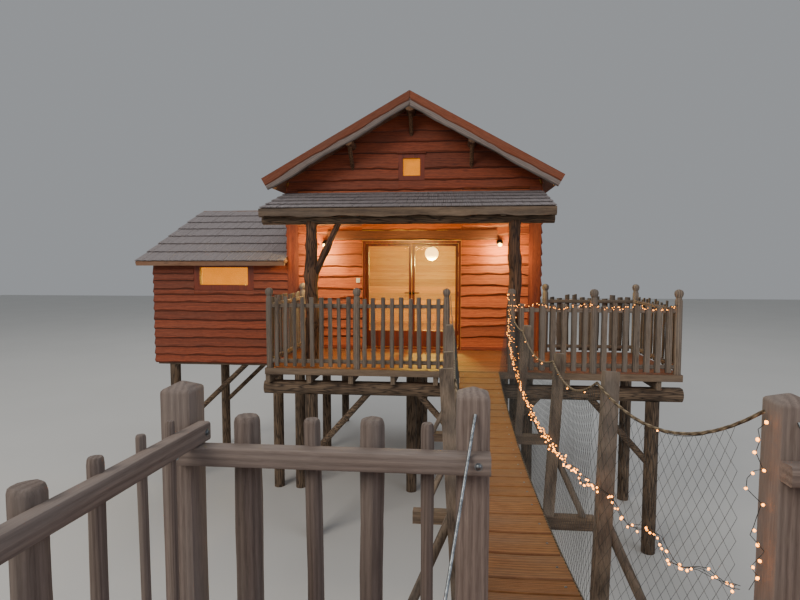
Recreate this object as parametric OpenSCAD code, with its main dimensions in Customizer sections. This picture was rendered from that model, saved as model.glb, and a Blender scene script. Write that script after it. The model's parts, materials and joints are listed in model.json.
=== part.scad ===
// Tree house on log stilts: a gabled cabin with a lean-to annex, a covered porch, a side deck
// and a rope bridge to a fenced landing.
// X runs right along the front, Y runs back from the front, Z is up. The origin is on the
// ground at the foot of the cabin's middle front stilt, under the middle of the front wall.

/* [Levels] */
// Height of every deck and floor above the lowest ground
deck_h = 2800; // [2200:50:3400]
// Thickness of the floor and deck boards
board_t = 35; // [28:1:45]
// Depth of the floor joists
joist_h = 200; // [160:10:240]
// Width of the floor joists
joist_w = 70; // [60:5:110]
// Distance between joist centres
joist_step = 660; // [500:10:720]
// Diameter of the log beams under the joists
beam_d = 230; // [200:5:260]
// Depth sawn flat off the top and the bottom of a log beam
beam_flat = 15; // [10:1:25]
// Diameter of the stilts
stilt_d = 200; // [160:5:220]
// Diameter of the round braces
brace_d = 100; // [80:5:120]
// Distance of the deck braces' feet below the beam
brace_down = 1010; // [900:10:1100]
// Reach of the deck braces to the side, up to the middle of the beam
brace_run = 990; // [900:10:1050]
// Distance of the annex braces' feet below the annex's floor beams
annex_brace_down = 1380; // [1300:10:1450]
// Reach of the annex braces to the side
annex_brace_run = 1560; // [1450:10:1650]

/* [Cabin] */
// Width over the side walls
cabin_w = 4780; // [4600:10:5000]
// Depth over the front and back walls
cabin_d = 4800; // [4400:10:5200]
// Thickness of the cabin walls
wall_t = 150; // [120:5:180]
// Height of the side walls' outer faces above the floor
eave_wall_h = 3185; // [3100:5:3400]
// Distance of the gable's bottom joint below that height
gable_drop = 85; // [60:5:120]
// Pitch of the cabin roof in degrees
roof_pitch = 29; // [28:0.5:30]
// Thickness of the cabin roof, measured square to it
roof_t = 150; // [120:5:170]
// Roof overhang beyond the side walls
eave_out = 320; // [250:10:360]
// Roof overhang beyond the front and back walls
verge_out = 500; // [400:10:560]
// Diameter of the ridge log
ridge_log_d = 180; // [150:5:200]
// Depth hewn off a roof log where the roof lies on it
hewn = 12; // [12:1:20]
// Diameter of the purlin logs
purlin_d = 150; // [120:5:170]
// Distance of each purlin from the middle
purlin_x = 1110; // [900:10:1300]
// Diameter of the braces under the ridge and purlin ends
gable_brace_d = 75; // [60:5:90]
// Thickness of the barge boards
barge_t = 30; // [25:1:40]
// Depth of the barge boards
barge_h = 250; // [200:10:280]
// How far the natural edge of a waney board strays
wane_depth = 18; // [8:1:25]
// Width of the boards on the cabin's corners
corner_w = 220; // [180:5:250]
// Thickness of the boards on the cabin's corners
corner_t = 30; // [20:1:35]

/* [Door] */
// Width over the outsides of the door frame
door_w = 1860; // [1700:10:1960]
// Height over the door frame
door_h = 2060; // [1980:10:2100]
// Thickness of the door frame
jamb_t = 45; // [40:1:60]
// Thickness of the door leaves
leaf_t = 50; // [40:1:55]
// Width of a leaf's stiles and top rail
stile_w = 50; // [45:1:70]
// Height of the glass above the bottom of a leaf
panel_h = 305; // [250:5:400]
// Clearance around each leaf
door_gap = 6; // [5:0.5:8]
// Height of the door handles above the floor
handle_h = 1070; // [950:10:1150]
// Distance from a leaf's face to its hinge pin
pin_out = 10; // [9:1:14]
// Diameter of the hinge knuckles
knuckle_d = 12; // [10:1:14]
// Height of a hinge knuckle
knuckle_h = 90; // [70:5:100]
// Height of the lowest hinges over the floor
hinge_low_z = 250; // [200:10:350]
// Height of the middle hinges over the floor
hinge_mid_z = 1000; // [900:10:1100]
// Height of the top hinges over the floor
hinge_top_z = 1750; // [1650:10:1800]

/* [Windows] */
// Width and height over the gable window's frame
gable_win = 490; // [420:10:520]
// Width and height of the gable window's glass
gable_pane = 320; // [280:10:360]
// Height of the gable window's middle above the gable's bottom joint
gable_win_up = 330; // [300:10:400]
// Width over the annex window's frame
annex_win_w = 1210; // [1100:10:1240]
// Height over the annex window's frame
annex_win_h = 540; // [480:10:550]
// Width of the annex window's glass
annex_pane_w = 970; // [900:10:1000]
// Height of the annex window's glass
annex_pane_h = 340; // [300:10:380]
// Bottom of the annex window's frame above the floor
annex_win_z = 1115; // [1090:5:1120]
// Distance of the annex window's middle to the right of the annex's middle
annex_win_shift = 75; // [0:5:100]
// Thickness of the window frames in front of and behind the wall
frame_proud = 20; // [15:1:30]
// Thickness of the glass
pane_t = 6; // [4:1:8]

/* [Porch] */
// Distance the porch roof reaches out from the front wall
porch_out = 1580; // [1500:10:1650]
// Distance of the porch roof's top below the gable's bottom joint, at the wall
porch_drop_h = 90; // [80:5:120]
// Fall of the porch roof from the wall to its front edge
porch_fall = 450; // [400:10:480]
// Upright thickness of the porch roof boards
porch_roof_t = 50; // [40:1:60]
// Upright depth of the porch rafters
rafter_h = 120; // [100:5:130]
// Width of the porch rafters
rafter_w = 80; // [60:5:100]
// Number of porch rafters
rafter_n = 7; // [5:1:9]
// Depth of the waney fascia board in front of the rafters
fascia_h = 130; // [110:5:150]
// Thickness of the fascia board
fascia_t = 30; // [25:1:40]
// Height of the wall lights above the floor
wall_light_z = 2020; // [1900:10:2100]
// Distance of each wall light from the door frame
wall_light_out = 710; // [600:10:800]
// Diameter of the pendant lamp's globe
globe_d = 300; // [250:10:320]
// Height of the globe's middle above the floor
globe_z = 1850; // [1800:10:2000]
// Distance of the pendant globe to the right of the cabin's middle
globe_x = 300; // [250:10:400]
// Distance of the pendant globe behind the origin
globe_y = 2100; // [1800:10:2300]
// Distance of the porch beam and its posts from the front wall
porch_beam_out = 1370; // [1300:10:1420]
// Diameter of the porch beam
porch_beam_d = 180; // [160:5:200]
// Distance of the left porch post, a natural forked trunk, from the middle
fork_post_x = 1570; // [1500:10:1650]
// Diameter of the forked trunk at its foot
fork_post_d = 230; // [200:5:250]
// Rise of the trunk's branch from the trunk to the beam
fork_rise = 970; // [900:10:1000]
// Reach of the branch to the side over that rise
fork_reach = 470; // [420:10:500]
// Diameter of the branch
fork_d = 100; // [80:5:110]
// Distance of the right porch post from the middle
log_post_x = 1770; // [1700:10:1850]
// Diameter of the right porch post
log_post_d = 210; // [180:5:230]

/* [Deck] */
// Distance of the deck's left end inside the cabin's left face
deck_inset = 240; // [200:10:280]
// Width of the side deck beyond the cabin's right face
side_deck_w = 1760; // [1600:10:1900]
// Depth of the deck in front of the wall
deck_out = 2110; // [2050:10:2200]
// Width of the deck boards
deck_board_w = 145; // [120:5:150]
// Gap between deck boards
deck_board_gap = 6; // [4:1:10]
// Height of the board along the deck's edge
edge_h = 100; // [90:5:140]
// Thickness of the board along the deck's edge
edge_t = 30; // [25:1:35]

/* [Railings] */
// Diameter of the round railing posts
rail_post_d = 110; // [90:5:130]
// Diameter of the balls on the railing posts
ball_d = 130; // [110:5:150]
// Height of the railing posts over the ball
rail_post_h = 1260; // [1150:10:1300]
// Height of the top rail's middle
top_rail_z = 980; // [900:10:1020]
// Height of the bottom rail's middle
low_rail_z = 110; // [100:5:150]
// Height of a rail
rail_h = 60; // [50:5:80]
// Thickness of a rail
rail_t = 45; // [40:1:60]
// Diameter of the round pickets
picket_d = 70; // [50:5:75]
// Height of the pickets' tops
picket_top = 1130; // [1050:10:1150]
// Distance between the round pickets
picket_step = 150; // [120:5:180]
// Width of the flat boards in the side deck's railing
slat_w = 110; // [90:5:120]
// Thickness of those flat boards
slat_t = 22; // [18:1:28]
// Distance between those flat boards
slat_step = 132; // [125:1:160]
// Height of those flat boards' tops
slat_top = 1030; // [980:10:1080]

/* [Annex] */
// Width of the annex
annex_w = 2710; // [2600:10:2900]
// Depth of the annex
annex_d = 2600; // [2400:10:2700]
// Thickness of the annex walls
annex_wall_t = 120; // [100:5:140]
// Height of the annex roof's top at its front edge
annex_eave_h = 1700; // [1690:10:1740]
// Pitch of the annex roof in degrees
annex_pitch = 22; // [20:0.5:22]
// Thickness of the annex roof
annex_roof_t = 120; // [100:5:120]
// Annex roof overhang at the front, the back and the left
annex_out = 250; // [200:10:280]
// Depth of the beams round the annex floor
annex_beam_h = 335; // [300:5:360]

/* [Bridge] */
// Position of the bridge's middle across the front
bridge_x = 1180; // [1150:5:1200]
// Distance of the railing posts at the bridge's end from its middle
gate_half = 490; // [470:5:510]
// Length of the bridge between the deck and the landing
bridge_len = 6280; // [5800:10:6600]
// How far the bridge's middle hangs below its ends
bridge_sag_h = 270; // [200:10:320]
// Length of the planks across the bridge
plank_len = 590; // [560:10:620]
// Width of one plank
plank_w = 180; // [160:5:190]
// Thickness of one plank
plank_t = 35; // [30:1:40]
// Number of planks
plank_n = 31; // [29:1:31]
// Diameter of the cables under the planks
cable_d = 20; // [16:1:24]
// Clearance between the cables and the planks
cable_gap = 0.3; // [0.3:0.1:1]
// Distance of each cable from the bridge's middle
cable_x = 235; // [200:5:250]
// Length of the cross beams that carry the uprights
cross_len = 1400; // [1300:10:1500]
// Height and width of a cross beam
cross_h = 95; // [80:5:100]
// Width of the bridge's square uprights
upright_d = 75; // [60:5:80]
// Distance of the first uprights from the deck
upright_run_a = 2120; // [2000:10:2300]
// Distance of the middle uprights from the deck
upright_run_b = 4150; // [4000:10:4300]
// Distance of the last uprights from the deck
upright_run_c = 5640; // [5450:10:5750]
// Distance of an upright's foot from the bridge's middle
upright_foot = 345; // [335:5:360]
// Diameter of the braces beside the uprights
bridge_brace_d = 50; // [40:2:60]
// Height above the planks where a brace meets its upright
bridge_brace_h = 450; // [400:10:500]
// Diameter of the ropes
rope_d = 14; // [12:1:20]
// Distance of the upper rope from the bridge's middle where an upright carries it
hand_x = 430; // [400:5:450]
// Distance of the lower rope from the ends of the planks
edge_rope_out = 9; // [8:1:10]
// Distance of the upper rope below the uprights' tops
rope_down = 60; // [40:5:80]
// Sag of the upper rope between two uprights
rope_sag = 120; // [60:10:150]
// Height on the landing's posts where the upper rope ends
rope_end_h = 1000; // [950:10:1080]
// How much higher the right hand rope ends than the left one
rope_end_rise = 120; // [80:10:140]
// Height on the landing's posts where the stays start
stay_h = 1100; // [1095:5:1130]
// Distance along the landing from a post to the foot of its stay
stay_run = 700; // [600:10:800]
// Distance to the side from a post to the foot of its stay
stay_out = 220; // [100:10:250]
// Height of the handrail rope above the planks
hand_h = 1200; // [1100:10:1250]

/* [Landing] */
// Width of the landing
landing_w = 3570; // [3500:10:3700]
// Distance of the landing's left side from the bridge's middle
landing_reach = 1530; // [1500:10:1560]
// Distance of the left post at the bridge's near end from its middle
near_left = 310; // [300:10:340]
// Distance of the middle side posts from the landing's front
mid_post_back = 1250; // [1150:10:1300]
// Distance of the right post at the bridge's near end from its middle
near_right = 810; // [780:10:840]
// Depth of the landing
landing_d = 2500; // [2300:10:2700]
// Width of the landing's square posts
landing_post_w = 140; // [120:5:150]
// Height of the landing's posts to the top of their caps
landing_post_h = 1200; // [1150:10:1250]
// Height and thickness of the landing's rails
landing_rail = 75; // [60:5:80]
// Angle by which the landing's sides splay outwards to the back
landing_splay = 5; // [0:0.5:8]
// Distance of the side rails' ends in front of the posts' near faces
rail_past = 35; // [0:5:60]
// Distance from the corner posts' inner faces to the side rails
side_rail_gap = 14; // [12:1:20]
// Width of the side rails
side_rail_w = 55; // [50:5:70]
// Height of the landing's top rail's middle
landing_rail_z = 930; // [900:5:945]
// Height of the landing's bottom rail's middle
landing_low_z = 150; // [120:5:200]
// Height of the landing's stakes
stake_top = 1070; // [1040:10:1100]
// Height of the tops of the stakes at the landing's sides
side_stake_top = 1095; // [1080:5:1120]

/* [Hidden] */
$fn = 48;

timber = "#8a5a34";
stain = "#a8481c";
dark_stain = "#7a2c10";
weathered = "#6b5f58";
shake = "#8c8490";
door_red = "#7a1206";
steel = "#70757a";

eps = 1;
seat_gap = 0.3;
cable_end = 15;
floor_z = deck_h;
wall_front = -wall_t / 2;
wall_back = wall_front + cabin_d;
side_x = cabin_w / 2;
deck_left = deck_inset - side_x;
deck_right = side_x + side_deck_w;
joist_z = deck_h - board_t - joist_h;
beam_z = joist_z - beam_d / 2 + beam_flat;
stilt_top = beam_z - beam_d / 2 + beam_flat;
row_y = [0, cabin_d / 2 - wall_t / 2, cabin_d - wall_t];
stilt_x = side_x - 190;
deck_front = wall_front - deck_out;
deck_beam_y = deck_front + 210;
deck_stilt_x = [deck_left + 690, bridge_x, deck_right - 350];
joist_first = deck_left + joist_w / 2;
deck_joist_n = floor((deck_right - joist_first - joist_w / 2) / joist_step) + 1;
joist_lap = 100;

annex_left = -side_x - annex_w;
annex_win_x = -side_x - annex_w / 2 + annex_win_shift;
gable_base = eave_wall_h - gable_drop;
gable_win_z = gable_base + gable_win_up;
roof_v = roof_t / cos(roof_pitch);
ridge_h = eave_wall_h + roof_v + side_x * tan(roof_pitch);
roof_edge = side_x + eave_out;
roof_front = wall_front - verge_out;
roof_back = wall_back + verge_out;
under_ridge = ridge_h - roof_v;
ridge_log_z = under_ridge - (ridge_log_d / 2 - hewn) / cos(roof_pitch);
purlin_z = under_roof(purlin_x) - (purlin_d / 2 - hewn) / cos(roof_pitch);
annex_door = [1000, 1750];
annex_door_h = 1900;

pin_x = door_w / 2 - jamb_t;
pin_y = wall_t / 2 + pin_out;
leaf_z = 35;
leaf_h = door_h - jamb_t - door_gap - leaf_z;
sill_t = leaf_z - 10;

porch_edge = wall_front - porch_out;
porch_back_h = gable_base - porch_drop_h;
porch_front_h = porch_back_h - porch_fall;
porch_slope = porch_fall / porch_out;
rafter_step = (cabin_w - rafter_w) / (rafter_n - 1);
porch_beam_y = wall_front - porch_beam_out;
porch_beam_z = porch_top(porch_beam_y) - porch_roof_t - rafter_h + 12 - porch_beam_d / 2;

rail_y = deck_front + 75;
rail_x = deck_left + 65;
side_x1 = deck_right - 65;
gate_left = bridge_x - gate_half;
gate_right = bridge_x + gate_half;
back_rail_y = wall_front - 75;
porch_rail_mid = (rail_x + gate_left) / 2;
side_rail_mid = (gate_right + side_x1) / 2;

annex_front_y = wall_front;
annex_back_y = annex_front_y + annex_d;
annex_edge = annex_front_y - annex_out;
annex_slope = tan(annex_pitch);
annex_roof_v = annex_roof_t / cos(annex_pitch);
annex_stilt_x = [annex_left + 350, -side_x - 250];
annex_stilt_y = [annex_front_y + 80, annex_back_y - 80];
annex_stilt_top = deck_h - board_t - annex_beam_h;
annex_beam_w = 100;
annex_beam_y = [annex_front_y + 30, annex_back_y - 30 - annex_beam_w];

bridge_mid = deck_front - bridge_len / 2;
bridge_r = pow(bridge_len / 2, 2) / (2 * bridge_sag_h) + bridge_sag_h / 2;
bridge_a = asin(bridge_len / 2 / bridge_r);
bridge_c = deck_h + bridge_r - bridge_sag_h;
frame_y = [for (d = [upright_run_a, upright_run_b, upright_run_c]) deck_front - d];
upright_sink = 100;
beam_drop = plank_t + 2 * cable_gap + cable_d;
landing_left = bridge_x - landing_reach;
landing_right = landing_left + landing_w;
landing_front = deck_front - bridge_len;
landing_back = landing_front - landing_d;
post_half = landing_post_w / 2;
landing_post_y = [landing_front - post_half, landing_front - mid_post_back, landing_back + post_half];
landing_post_x = [landing_left + post_half, bridge_x - near_left, bridge_x + near_right,
    landing_right - post_half];
landing_beam_in = 210;
landing_beam_y = [landing_front - landing_beam_in, landing_back + landing_beam_in];
landing_stilt_in = 250;

// Range of a given width with its middle at a value
function around(mid, width) = [mid - width / 2, mid + width / 2];
// Range of a given length from a value on
function span(start, length) = [start, start + length];
// Height of the roof's underside at a distance x from the middle
function under_roof(x) = under_ridge - x * tan(roof_pitch);
// Height above the ground of the cabin's walls at a distance x from the middle
function wall_top(x) = floor_z + under_roof(x) - seat_gap;
// Height of the porch roof's top at a place y
function porch_top(y) = porch_back_h - porch_slope * (wall_front - y);
// Height of the annex roof's underside at a place y
function annex_under(y) = annex_eave_h - annex_roof_v + annex_slope * (y - annex_edge);
// Height above the ground of the annex's walls at a place y
function annex_wall_top(y) = floor_z + annex_under(y) - seat_gap;
// How much each side of the landing stands further out at a place y than at its front
function widening(y) = (landing_front - y) * tan(landing_splay);
// Middle of a side post at a place y, from the landing's edge, so that it bears on the side rail
function post_inset(y) = (landing_post_w + side_rail_gap) / cos(landing_splay)
    - widening(y - post_half) - post_half - 1;
// Angle from the bridge's lowest point to a place y
function bridge_angle(y) = asin((y - bridge_mid) / bridge_r);

// Box between two values on each axis, with heights above the floor
module box(x, y, z) {
    translate([x[0], y[0], floor_z + z[0]])
        cube([x[1] - x[0], y[1] - y[0], z[1] - z[0]]);
}

// Round pole between two points
module pole(a, b, d) {
    v = b - a;
    translate(a)
        rotate([0, acos(v[2] / norm(v)), atan2(v[1], v[0])])
            cylinder(d = d, h = norm(v));
}

// Square bar between two points in one XZ plane
module bar(a, b, w) {
    v = b - a;
    translate(a)
        rotate([0, atan2(v[0], v[2]), 0])
            translate([-w / 2, -w / 2, 0]) cube([w, w, norm(v)]);
}

// Log along X with sawn flats on its top and bottom
module beam_log(x0, x1, y, z, d, flat) {
    intersection() {
        translate([x0, y, z]) rotate([0, 90, 0]) cylinder(d = d, h = x1 - x0);
        translate([x0 - eps, y - d, z - d / 2 + flat]) cube([x1 - x0 + 2 * eps, 2 * d, d - 2 * flat]);
    }
}

// Stilt from the ground to the underside of a beam
module stilt(x, y, top = stilt_top) {
    translate([x, y, 0]) cylinder(d = stilt_d, h = top);
}

// Profile in X and Z pushed along Y between two places
module along_y(y0, y1) {
    translate([0, y1, 0]) rotate([90, 0, 0]) linear_extrude(y1 - y0) children();
}

// Profile in Y and Z pushed along X between two places
module along_x(x0, x1) {
    translate([x0, 0, 0]) rotate([90, 0, 90]) linear_extrude(x1 - x0) children();
}

module stilts() {
    color(timber) {
        for (x = [-stilt_x, 0, stilt_x], y = row_y) stilt(x, y);
        stilt(deck_right - 150, 0);
        for (x = deck_stilt_x) stilt(x, deck_beam_y);
        for (x = annex_stilt_x, y = annex_stilt_y) stilt(x, y, annex_stilt_top);
        for (y = landing_beam_y, x = [landing_left - widening(y) + landing_stilt_in,
                (landing_left + landing_right) / 2, landing_right + widening(y) - landing_stilt_in])
            stilt(x, y);
    }
}

// Braces from the stilts up to the deck's front beam and to the annex's floor beams
module stilt_braces() {
    color(timber)
        difference() {
            union() {
                for (b = [[0, 1], [1, -1], [1, 1], [2, -1]])
                    pole([deck_stilt_x[b[0]], deck_beam_y, stilt_top - brace_down],
                        [deck_stilt_x[b[0]] + b[1] * brace_run, deck_beam_y, beam_z], brace_d);
                for (y = annex_stilt_y)
                    pole([annex_stilt_x[0], y, annex_stilt_top - annex_brace_down],
                        [annex_stilt_x[0] + annex_brace_run, y, annex_stilt_top + brace_d], brace_d);
            }
            stilts();
            translate([deck_left, deck_beam_y - beam_d, stilt_top])
                cube([deck_right - deck_left, 2 * beam_d, 2 * beam_d]);
            translate([annex_left, annex_front_y - beam_d, annex_stilt_top])
                cube([annex_w, annex_d + 2 * beam_d, 2 * beam_d]);
        }
}

module log_beams() {
    color(timber) {
        beam_log(-side_x, deck_right, row_y[0], beam_z, beam_d, beam_flat);
        for (y = [row_y[1], row_y[2]]) beam_log(-side_x, side_x, y, beam_z, beam_d, beam_flat);
        beam_log(deck_left - 60, deck_right + 60, deck_beam_y, beam_z, beam_d, beam_flat);
        for (y = landing_beam_y)
            beam_log(landing_left - widening(y), landing_right + widening(y), y, beam_z, beam_d, beam_flat);
        porch_log();
    }
}

module floor_joists() {
    z = [-board_t - joist_h, -board_t];
    annex_step = (annex_w - 30 - joist_w) / 4;
    landing_step = (landing_w - joist_w) / 5;
    color(timber) {
        for (i = [-3:3]) box(around(i * joist_step, joist_w), [joist_lap + 5, wall_back], z);
        for (i = [0:deck_joist_n - 1])
            box(around(joist_first + i * joist_step, joist_w), [deck_front + edge_t, joist_lap], z);
        for (i = [0:4])
            box(span(annex_left + 30 + i * annex_step, joist_w),
                [annex_beam_y[0] + annex_beam_w, annex_beam_y[1]], z);
        for (i = [1:4])
            box(span(landing_left + i * landing_step, joist_w), [landing_back, landing_front], z);
        translate([0, 0, floor_z + z[0]]) linear_extrude(z[1] - z[0])
            for (s = [-1, 1]) polygon([for (p = [[0, landing_front], [joist_w, landing_front],
                    [joist_w, landing_back], [0, landing_back]])
                [s < 0 ? landing_left - widening(p[1]) + p[0]
                    : landing_right + widening(p[1]) - p[0], p[1]]]);
    }
}

module cabin_floor() {
    color(timber) box([-side_x, side_x], [wall_front, wall_back], [-board_t, 0]);
}

// Part of the front wall beside the door
module front_side(x) {
    color(stain) box(x, [wall_front, wall_front + wall_t], [0, gable_base]);
}

module front_wall_left() {
    front_side([-side_x, -door_w / 2]);
}

module front_wall_right() {
    front_side([door_w / 2, side_x]);
}

module wall_over_door() {
    color(stain)
        box([-door_w / 2, door_w / 2], [wall_front, wall_front + wall_t], [door_h, gable_base]);
}

// End wall above a height, cut for the window and for the logs that pass through it
module gable(y0, base) {
    difference() {
        along_y(y0, y0 + wall_t) polygon([
            [-side_x, floor_z + base], [side_x, floor_z + base],
            [side_x, wall_top(side_x)], [0, wall_top(0)], [-side_x, wall_top(side_x)]]);
        log_y(0, ridge_log_z, ridge_log_d);
        for (s = [-1, 1]) log_y(s * purlin_x, purlin_z, purlin_d);
        box(around(0, gable_win), [y0 - eps, y0 + wall_t + eps], around(gable_win_z, gable_win));
    }
}

// Round log along Y from verge to verge
module log_y(x, z, d) {
    translate([x, roof_back, floor_z + z]) rotate([90, 0, 0]) cylinder(d = d, h = roof_back - roof_front);
}

module front_gable() {
    color(dark_stain) gable(wall_front, gable_base);
}

module back_wall() {
    color(stain) gable(wall_back - wall_t, 0);
}

// Side wall between the end walls, its top cut to the roof
module side_wall(side) {
    x0 = side * side_x;
    x1 = side * (side_x - wall_t);
    along_y(wall_t / 2, wall_back - wall_t) polygon([
        [x0, floor_z], [x1, floor_z],
        [x1, wall_top(side_x - wall_t)], [x0, wall_top(side_x)]]);
}

module left_wall() {
    color(stain)
        difference() {
            side_wall(-1);
            box([-side_x - eps, -side_x + wall_t + eps], annex_door, [-eps, annex_door_h]);
        }
}

module right_wall() {
    color(stain) side_wall(1);
}

// One slope of the roof
module roof_slope(side) {
    fall = roof_edge * tan(roof_pitch);
    along_y(roof_front, roof_back) polygon([
        [0, floor_z + ridge_h], [side * roof_edge, floor_z + ridge_h - fall],
        [side * roof_edge, floor_z + under_ridge - fall], [0, floor_z + under_ridge]]);
}

module roof_left() {
    color(shake) roof_slope(-1);
}

module roof_right() {
    color(shake) roof_slope(1);
}

module roof_logs() {
    color(timber)
        difference() {
            union() {
                log_y(0, ridge_log_z, ridge_log_d);
                for (s = [-1, 1]) log_y(s * purlin_x, purlin_z, purlin_d);
            }
            for (s = [-1, 1]) roof_slope(s);
        }
}

// Brace from an end wall up to the overhanging end of a log
module gable_brace(x, z, d, wall, out) {
    difference() {
        pole([x, wall - out * 60, floor_z + z - 460], [x, wall + out * 400, floor_z + z], gable_brace_d);
        log_y(x, z, d);
        translate([x - 100, wall - out * 150 - 150, floor_z + z - 600]) cube([200, 300, 600]);
    }
}

module gable_braces() {
    color(timber)
        for (end = [[wall_front, -1], [wall_back, 1]]) {
            gable_brace(0, ridge_log_z, ridge_log_d, end[0], end[1]);
            for (s = [-1, 1]) gable_brace(s * purlin_x, purlin_z, purlin_d, end[0], end[1]);
        }
}

// Waney edge: how far a natural edge strays at a distance t along a board
function wane(t) = wane_depth * (0.6 * sin(t * 0.31) + 0.4 * sin(t * 0.83 + 50));

// Board along one slope of a gable's edge with a waney lower edge and a hair of a joint at the ridge
module barge(side, y) {
    drop = barge_h / cos(roof_pitch);
    n = 24;
    lower = [for (i = [0:n]) let (x = 2 + (roof_edge - 2) * i / n)
        [side * x, floor_z + ridge_h - x * tan(roof_pitch) - drop + wane(x)]];
    along_y(y, y + barge_t) polygon(concat(lower, [
        [side * roof_edge, floor_z + ridge_h - roof_edge * tan(roof_pitch)],
        [side * 2, floor_z + ridge_h]]));
}

module barge_boards() {
    color("#9a6a55")
        for (side = [-1, 1], y = [roof_front - barge_t, roof_back]) barge(side, y);
}

module corner_boards() {
    under_rafters = porch_top(wall_front - corner_t) - porch_roof_t - rafter_h - seat_gap;
    color(stain)
        for (x = [[-side_x, corner_w - side_x], [side_x - corner_w, side_x]]) {
            box(x, [wall_front - corner_t, wall_front], [0, under_rafters]);
            box(x, [wall_back, wall_back + corner_t], [0, gable_base]);
        }
}

module door_frame() {
    half = door_w / 2;
    color(door_red) {
        difference() {
            box([-half, half], [wall_front, wall_front + wall_t], [0, door_h]);
            box([-pin_x, pin_x], [wall_front - eps, wall_front + wall_t + eps], [sill_t, door_h - jamb_t]);
        }
        for (s = [-1, 1], z = [hinge_low_z, hinge_mid_z, hinge_top_z]) {
            translate([s * pin_x, pin_y, floor_z + z]) cylinder(d = knuckle_d, h = knuckle_h);
            translate([s * (pin_x + 6) - 6, pin_y - pin_out, floor_z + z]) cube([12, pin_out, knuckle_h]);
        }
    }
}

// Door leaf seen closed, from its hinge edge towards the middle
module leaf(side) {
    x0 = pin_x - door_gap;
    x1 = door_gap;
    y = [pin_y - pin_out - leaf_t, pin_y - pin_out];
    handle_x = x1 + stile_w / 2;
    mirror([side < 0 ? 1 : 0, 0, 0]) {
        difference() {
            box([x1, x0], y, [leaf_z, leaf_z + leaf_h]);
            box([x1 + stile_w, x0 - stile_w], y + [-eps, eps], [leaf_z + panel_h, leaf_z + leaf_h - stile_w]);
        }
        for (s = [[y[0] - 45, y[0]], [y[1], y[1] + 45]]) {
            translate([handle_x, s[0], floor_z + handle_h]) rotate([-90, 0, 0]) cylinder(d = 18, h = 45);
        }
        for (ly = [y[0] - 45, y[1] + 31])
            box(span(handle_x - 9, 119), span(ly, 14), around(handle_h, 18));
    }
}

// Glass of one door leaf
module leaf_glass(side) {
    y = pin_y - pin_out - leaf_t / 2;
    mirror([side < 0 ? 1 : 0, 0, 0])
        box([door_gap + stile_w, pin_x - door_gap - stile_w], around(y, pane_t),
            [leaf_z + panel_h, leaf_z + leaf_h - stile_w]);
}

module door_left() {
    color(door_red) leaf(-1);
}

module door_right() {
    color(door_red) leaf(1);
}

module door_left_glass() {
    color("#9fb4b8", 0.4) leaf_glass(-1);
}

module door_right_glass() {
    color("#9fb4b8", 0.4) leaf_glass(1);
}

// Window frame that fills its hole in a wall from y0 to y1
module win_frame(x, z, w, h, pane_w, pane_h, y0, y1) {
    difference() {
        box(around(x, w), [y0, y1], span(z, h));
        box(around(x, pane_w), [y0 - eps, y1 + eps], around(z + h / 2, pane_h));
    }
}

module window_frames() {
    z = gable_win_z - gable_win / 2;
    color(door_red) {
        for (y = [[wall_front - frame_proud, wall_t / 2], [wall_back - wall_t, wall_back + frame_proud]])
            win_frame(0, z, gable_win, gable_win, gable_pane, gable_pane, y[0], y[1]);
        win_frame(annex_win_x, annex_win_z, annex_win_w, annex_win_h, annex_pane_w, annex_pane_h,
            annex_front_y - frame_proud, annex_front_y + annex_wall_t);
    }
}

module window_glass() {
    color("#9fb4b8", 0.4) {
        for (y = [0, wall_back - wall_t / 2])
            box(around(0, gable_pane), around(y, pane_t), around(gable_win_z, gable_pane));
        box(around(annex_win_x, annex_pane_w), around(annex_front_y + annex_wall_t / 2, pane_t),
            around(annex_win_z + annex_win_h / 2, annex_pane_h));
    }
}

module wall_lights() {
    color(steel)
        for (s = [-1, 1])
            translate([s * (door_w / 2 + wall_light_out), wall_front, floor_z + wall_light_z]) {
                rotate([90, 0, 0]) cylinder(d = 90, h = 15);
                rotate([90, 0, 0]) cylinder(d = 20, h = 80);
                translate([0, -90, -80]) cylinder(d1 = 130, d2 = 60, h = 110);
            }
}

module pendant_lamp() {
    rod_d = 14;
    color("#f4ead8") {
        translate([globe_x, globe_y, floor_z + globe_z]) sphere(d = globe_d);
        difference() {
            translate([globe_x, globe_y, floor_z + globe_z]) cylinder(d = rod_d, h = under_ridge - globe_z);
            roof_slope(1);
        }
    }
}

module porch_roof() {
    color(shake)
        along_x(-side_x, side_x) polygon([
            [wall_front, floor_z + porch_back_h], [porch_edge, floor_z + porch_front_h],
            [porch_edge, floor_z + porch_front_h - porch_roof_t],
            [wall_front, floor_z + porch_back_h - porch_roof_t]]);
}

// Round beam that carries the porch rafters
module porch_log() {
    translate([-side_x, porch_beam_y, floor_z + porch_beam_z])
        rotate([0, 90, 0]) cylinder(d = porch_beam_d, h = cabin_w);
}

module porch_rafters() {
    back = porch_back_h - porch_roof_t;
    front = porch_front_h - porch_roof_t;
    color(weathered)
        for (i = [0:rafter_n - 1])
            difference() {
                along_x(i * rafter_step - side_x, i * rafter_step - side_x + rafter_w) polygon([
                    [wall_front, floor_z + back], [porch_edge, floor_z + front],
                    [porch_edge, floor_z + front - rafter_h],
                    [wall_front, floor_z + back - rafter_h]]);
                porch_log();
            }
}

module porch_fascia() {
    n = 40;
    top = porch_front_h - 30;
    color(weathered)
        along_y(porch_edge - fascia_t, porch_edge) polygon(concat(
            [[side_x, floor_z + top], [-side_x, floor_z + top]],
            [for (i = [0:n]) let (x = cabin_w * i / n) [x - side_x, floor_z + top - fascia_h + wane(x)]]));
}

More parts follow.
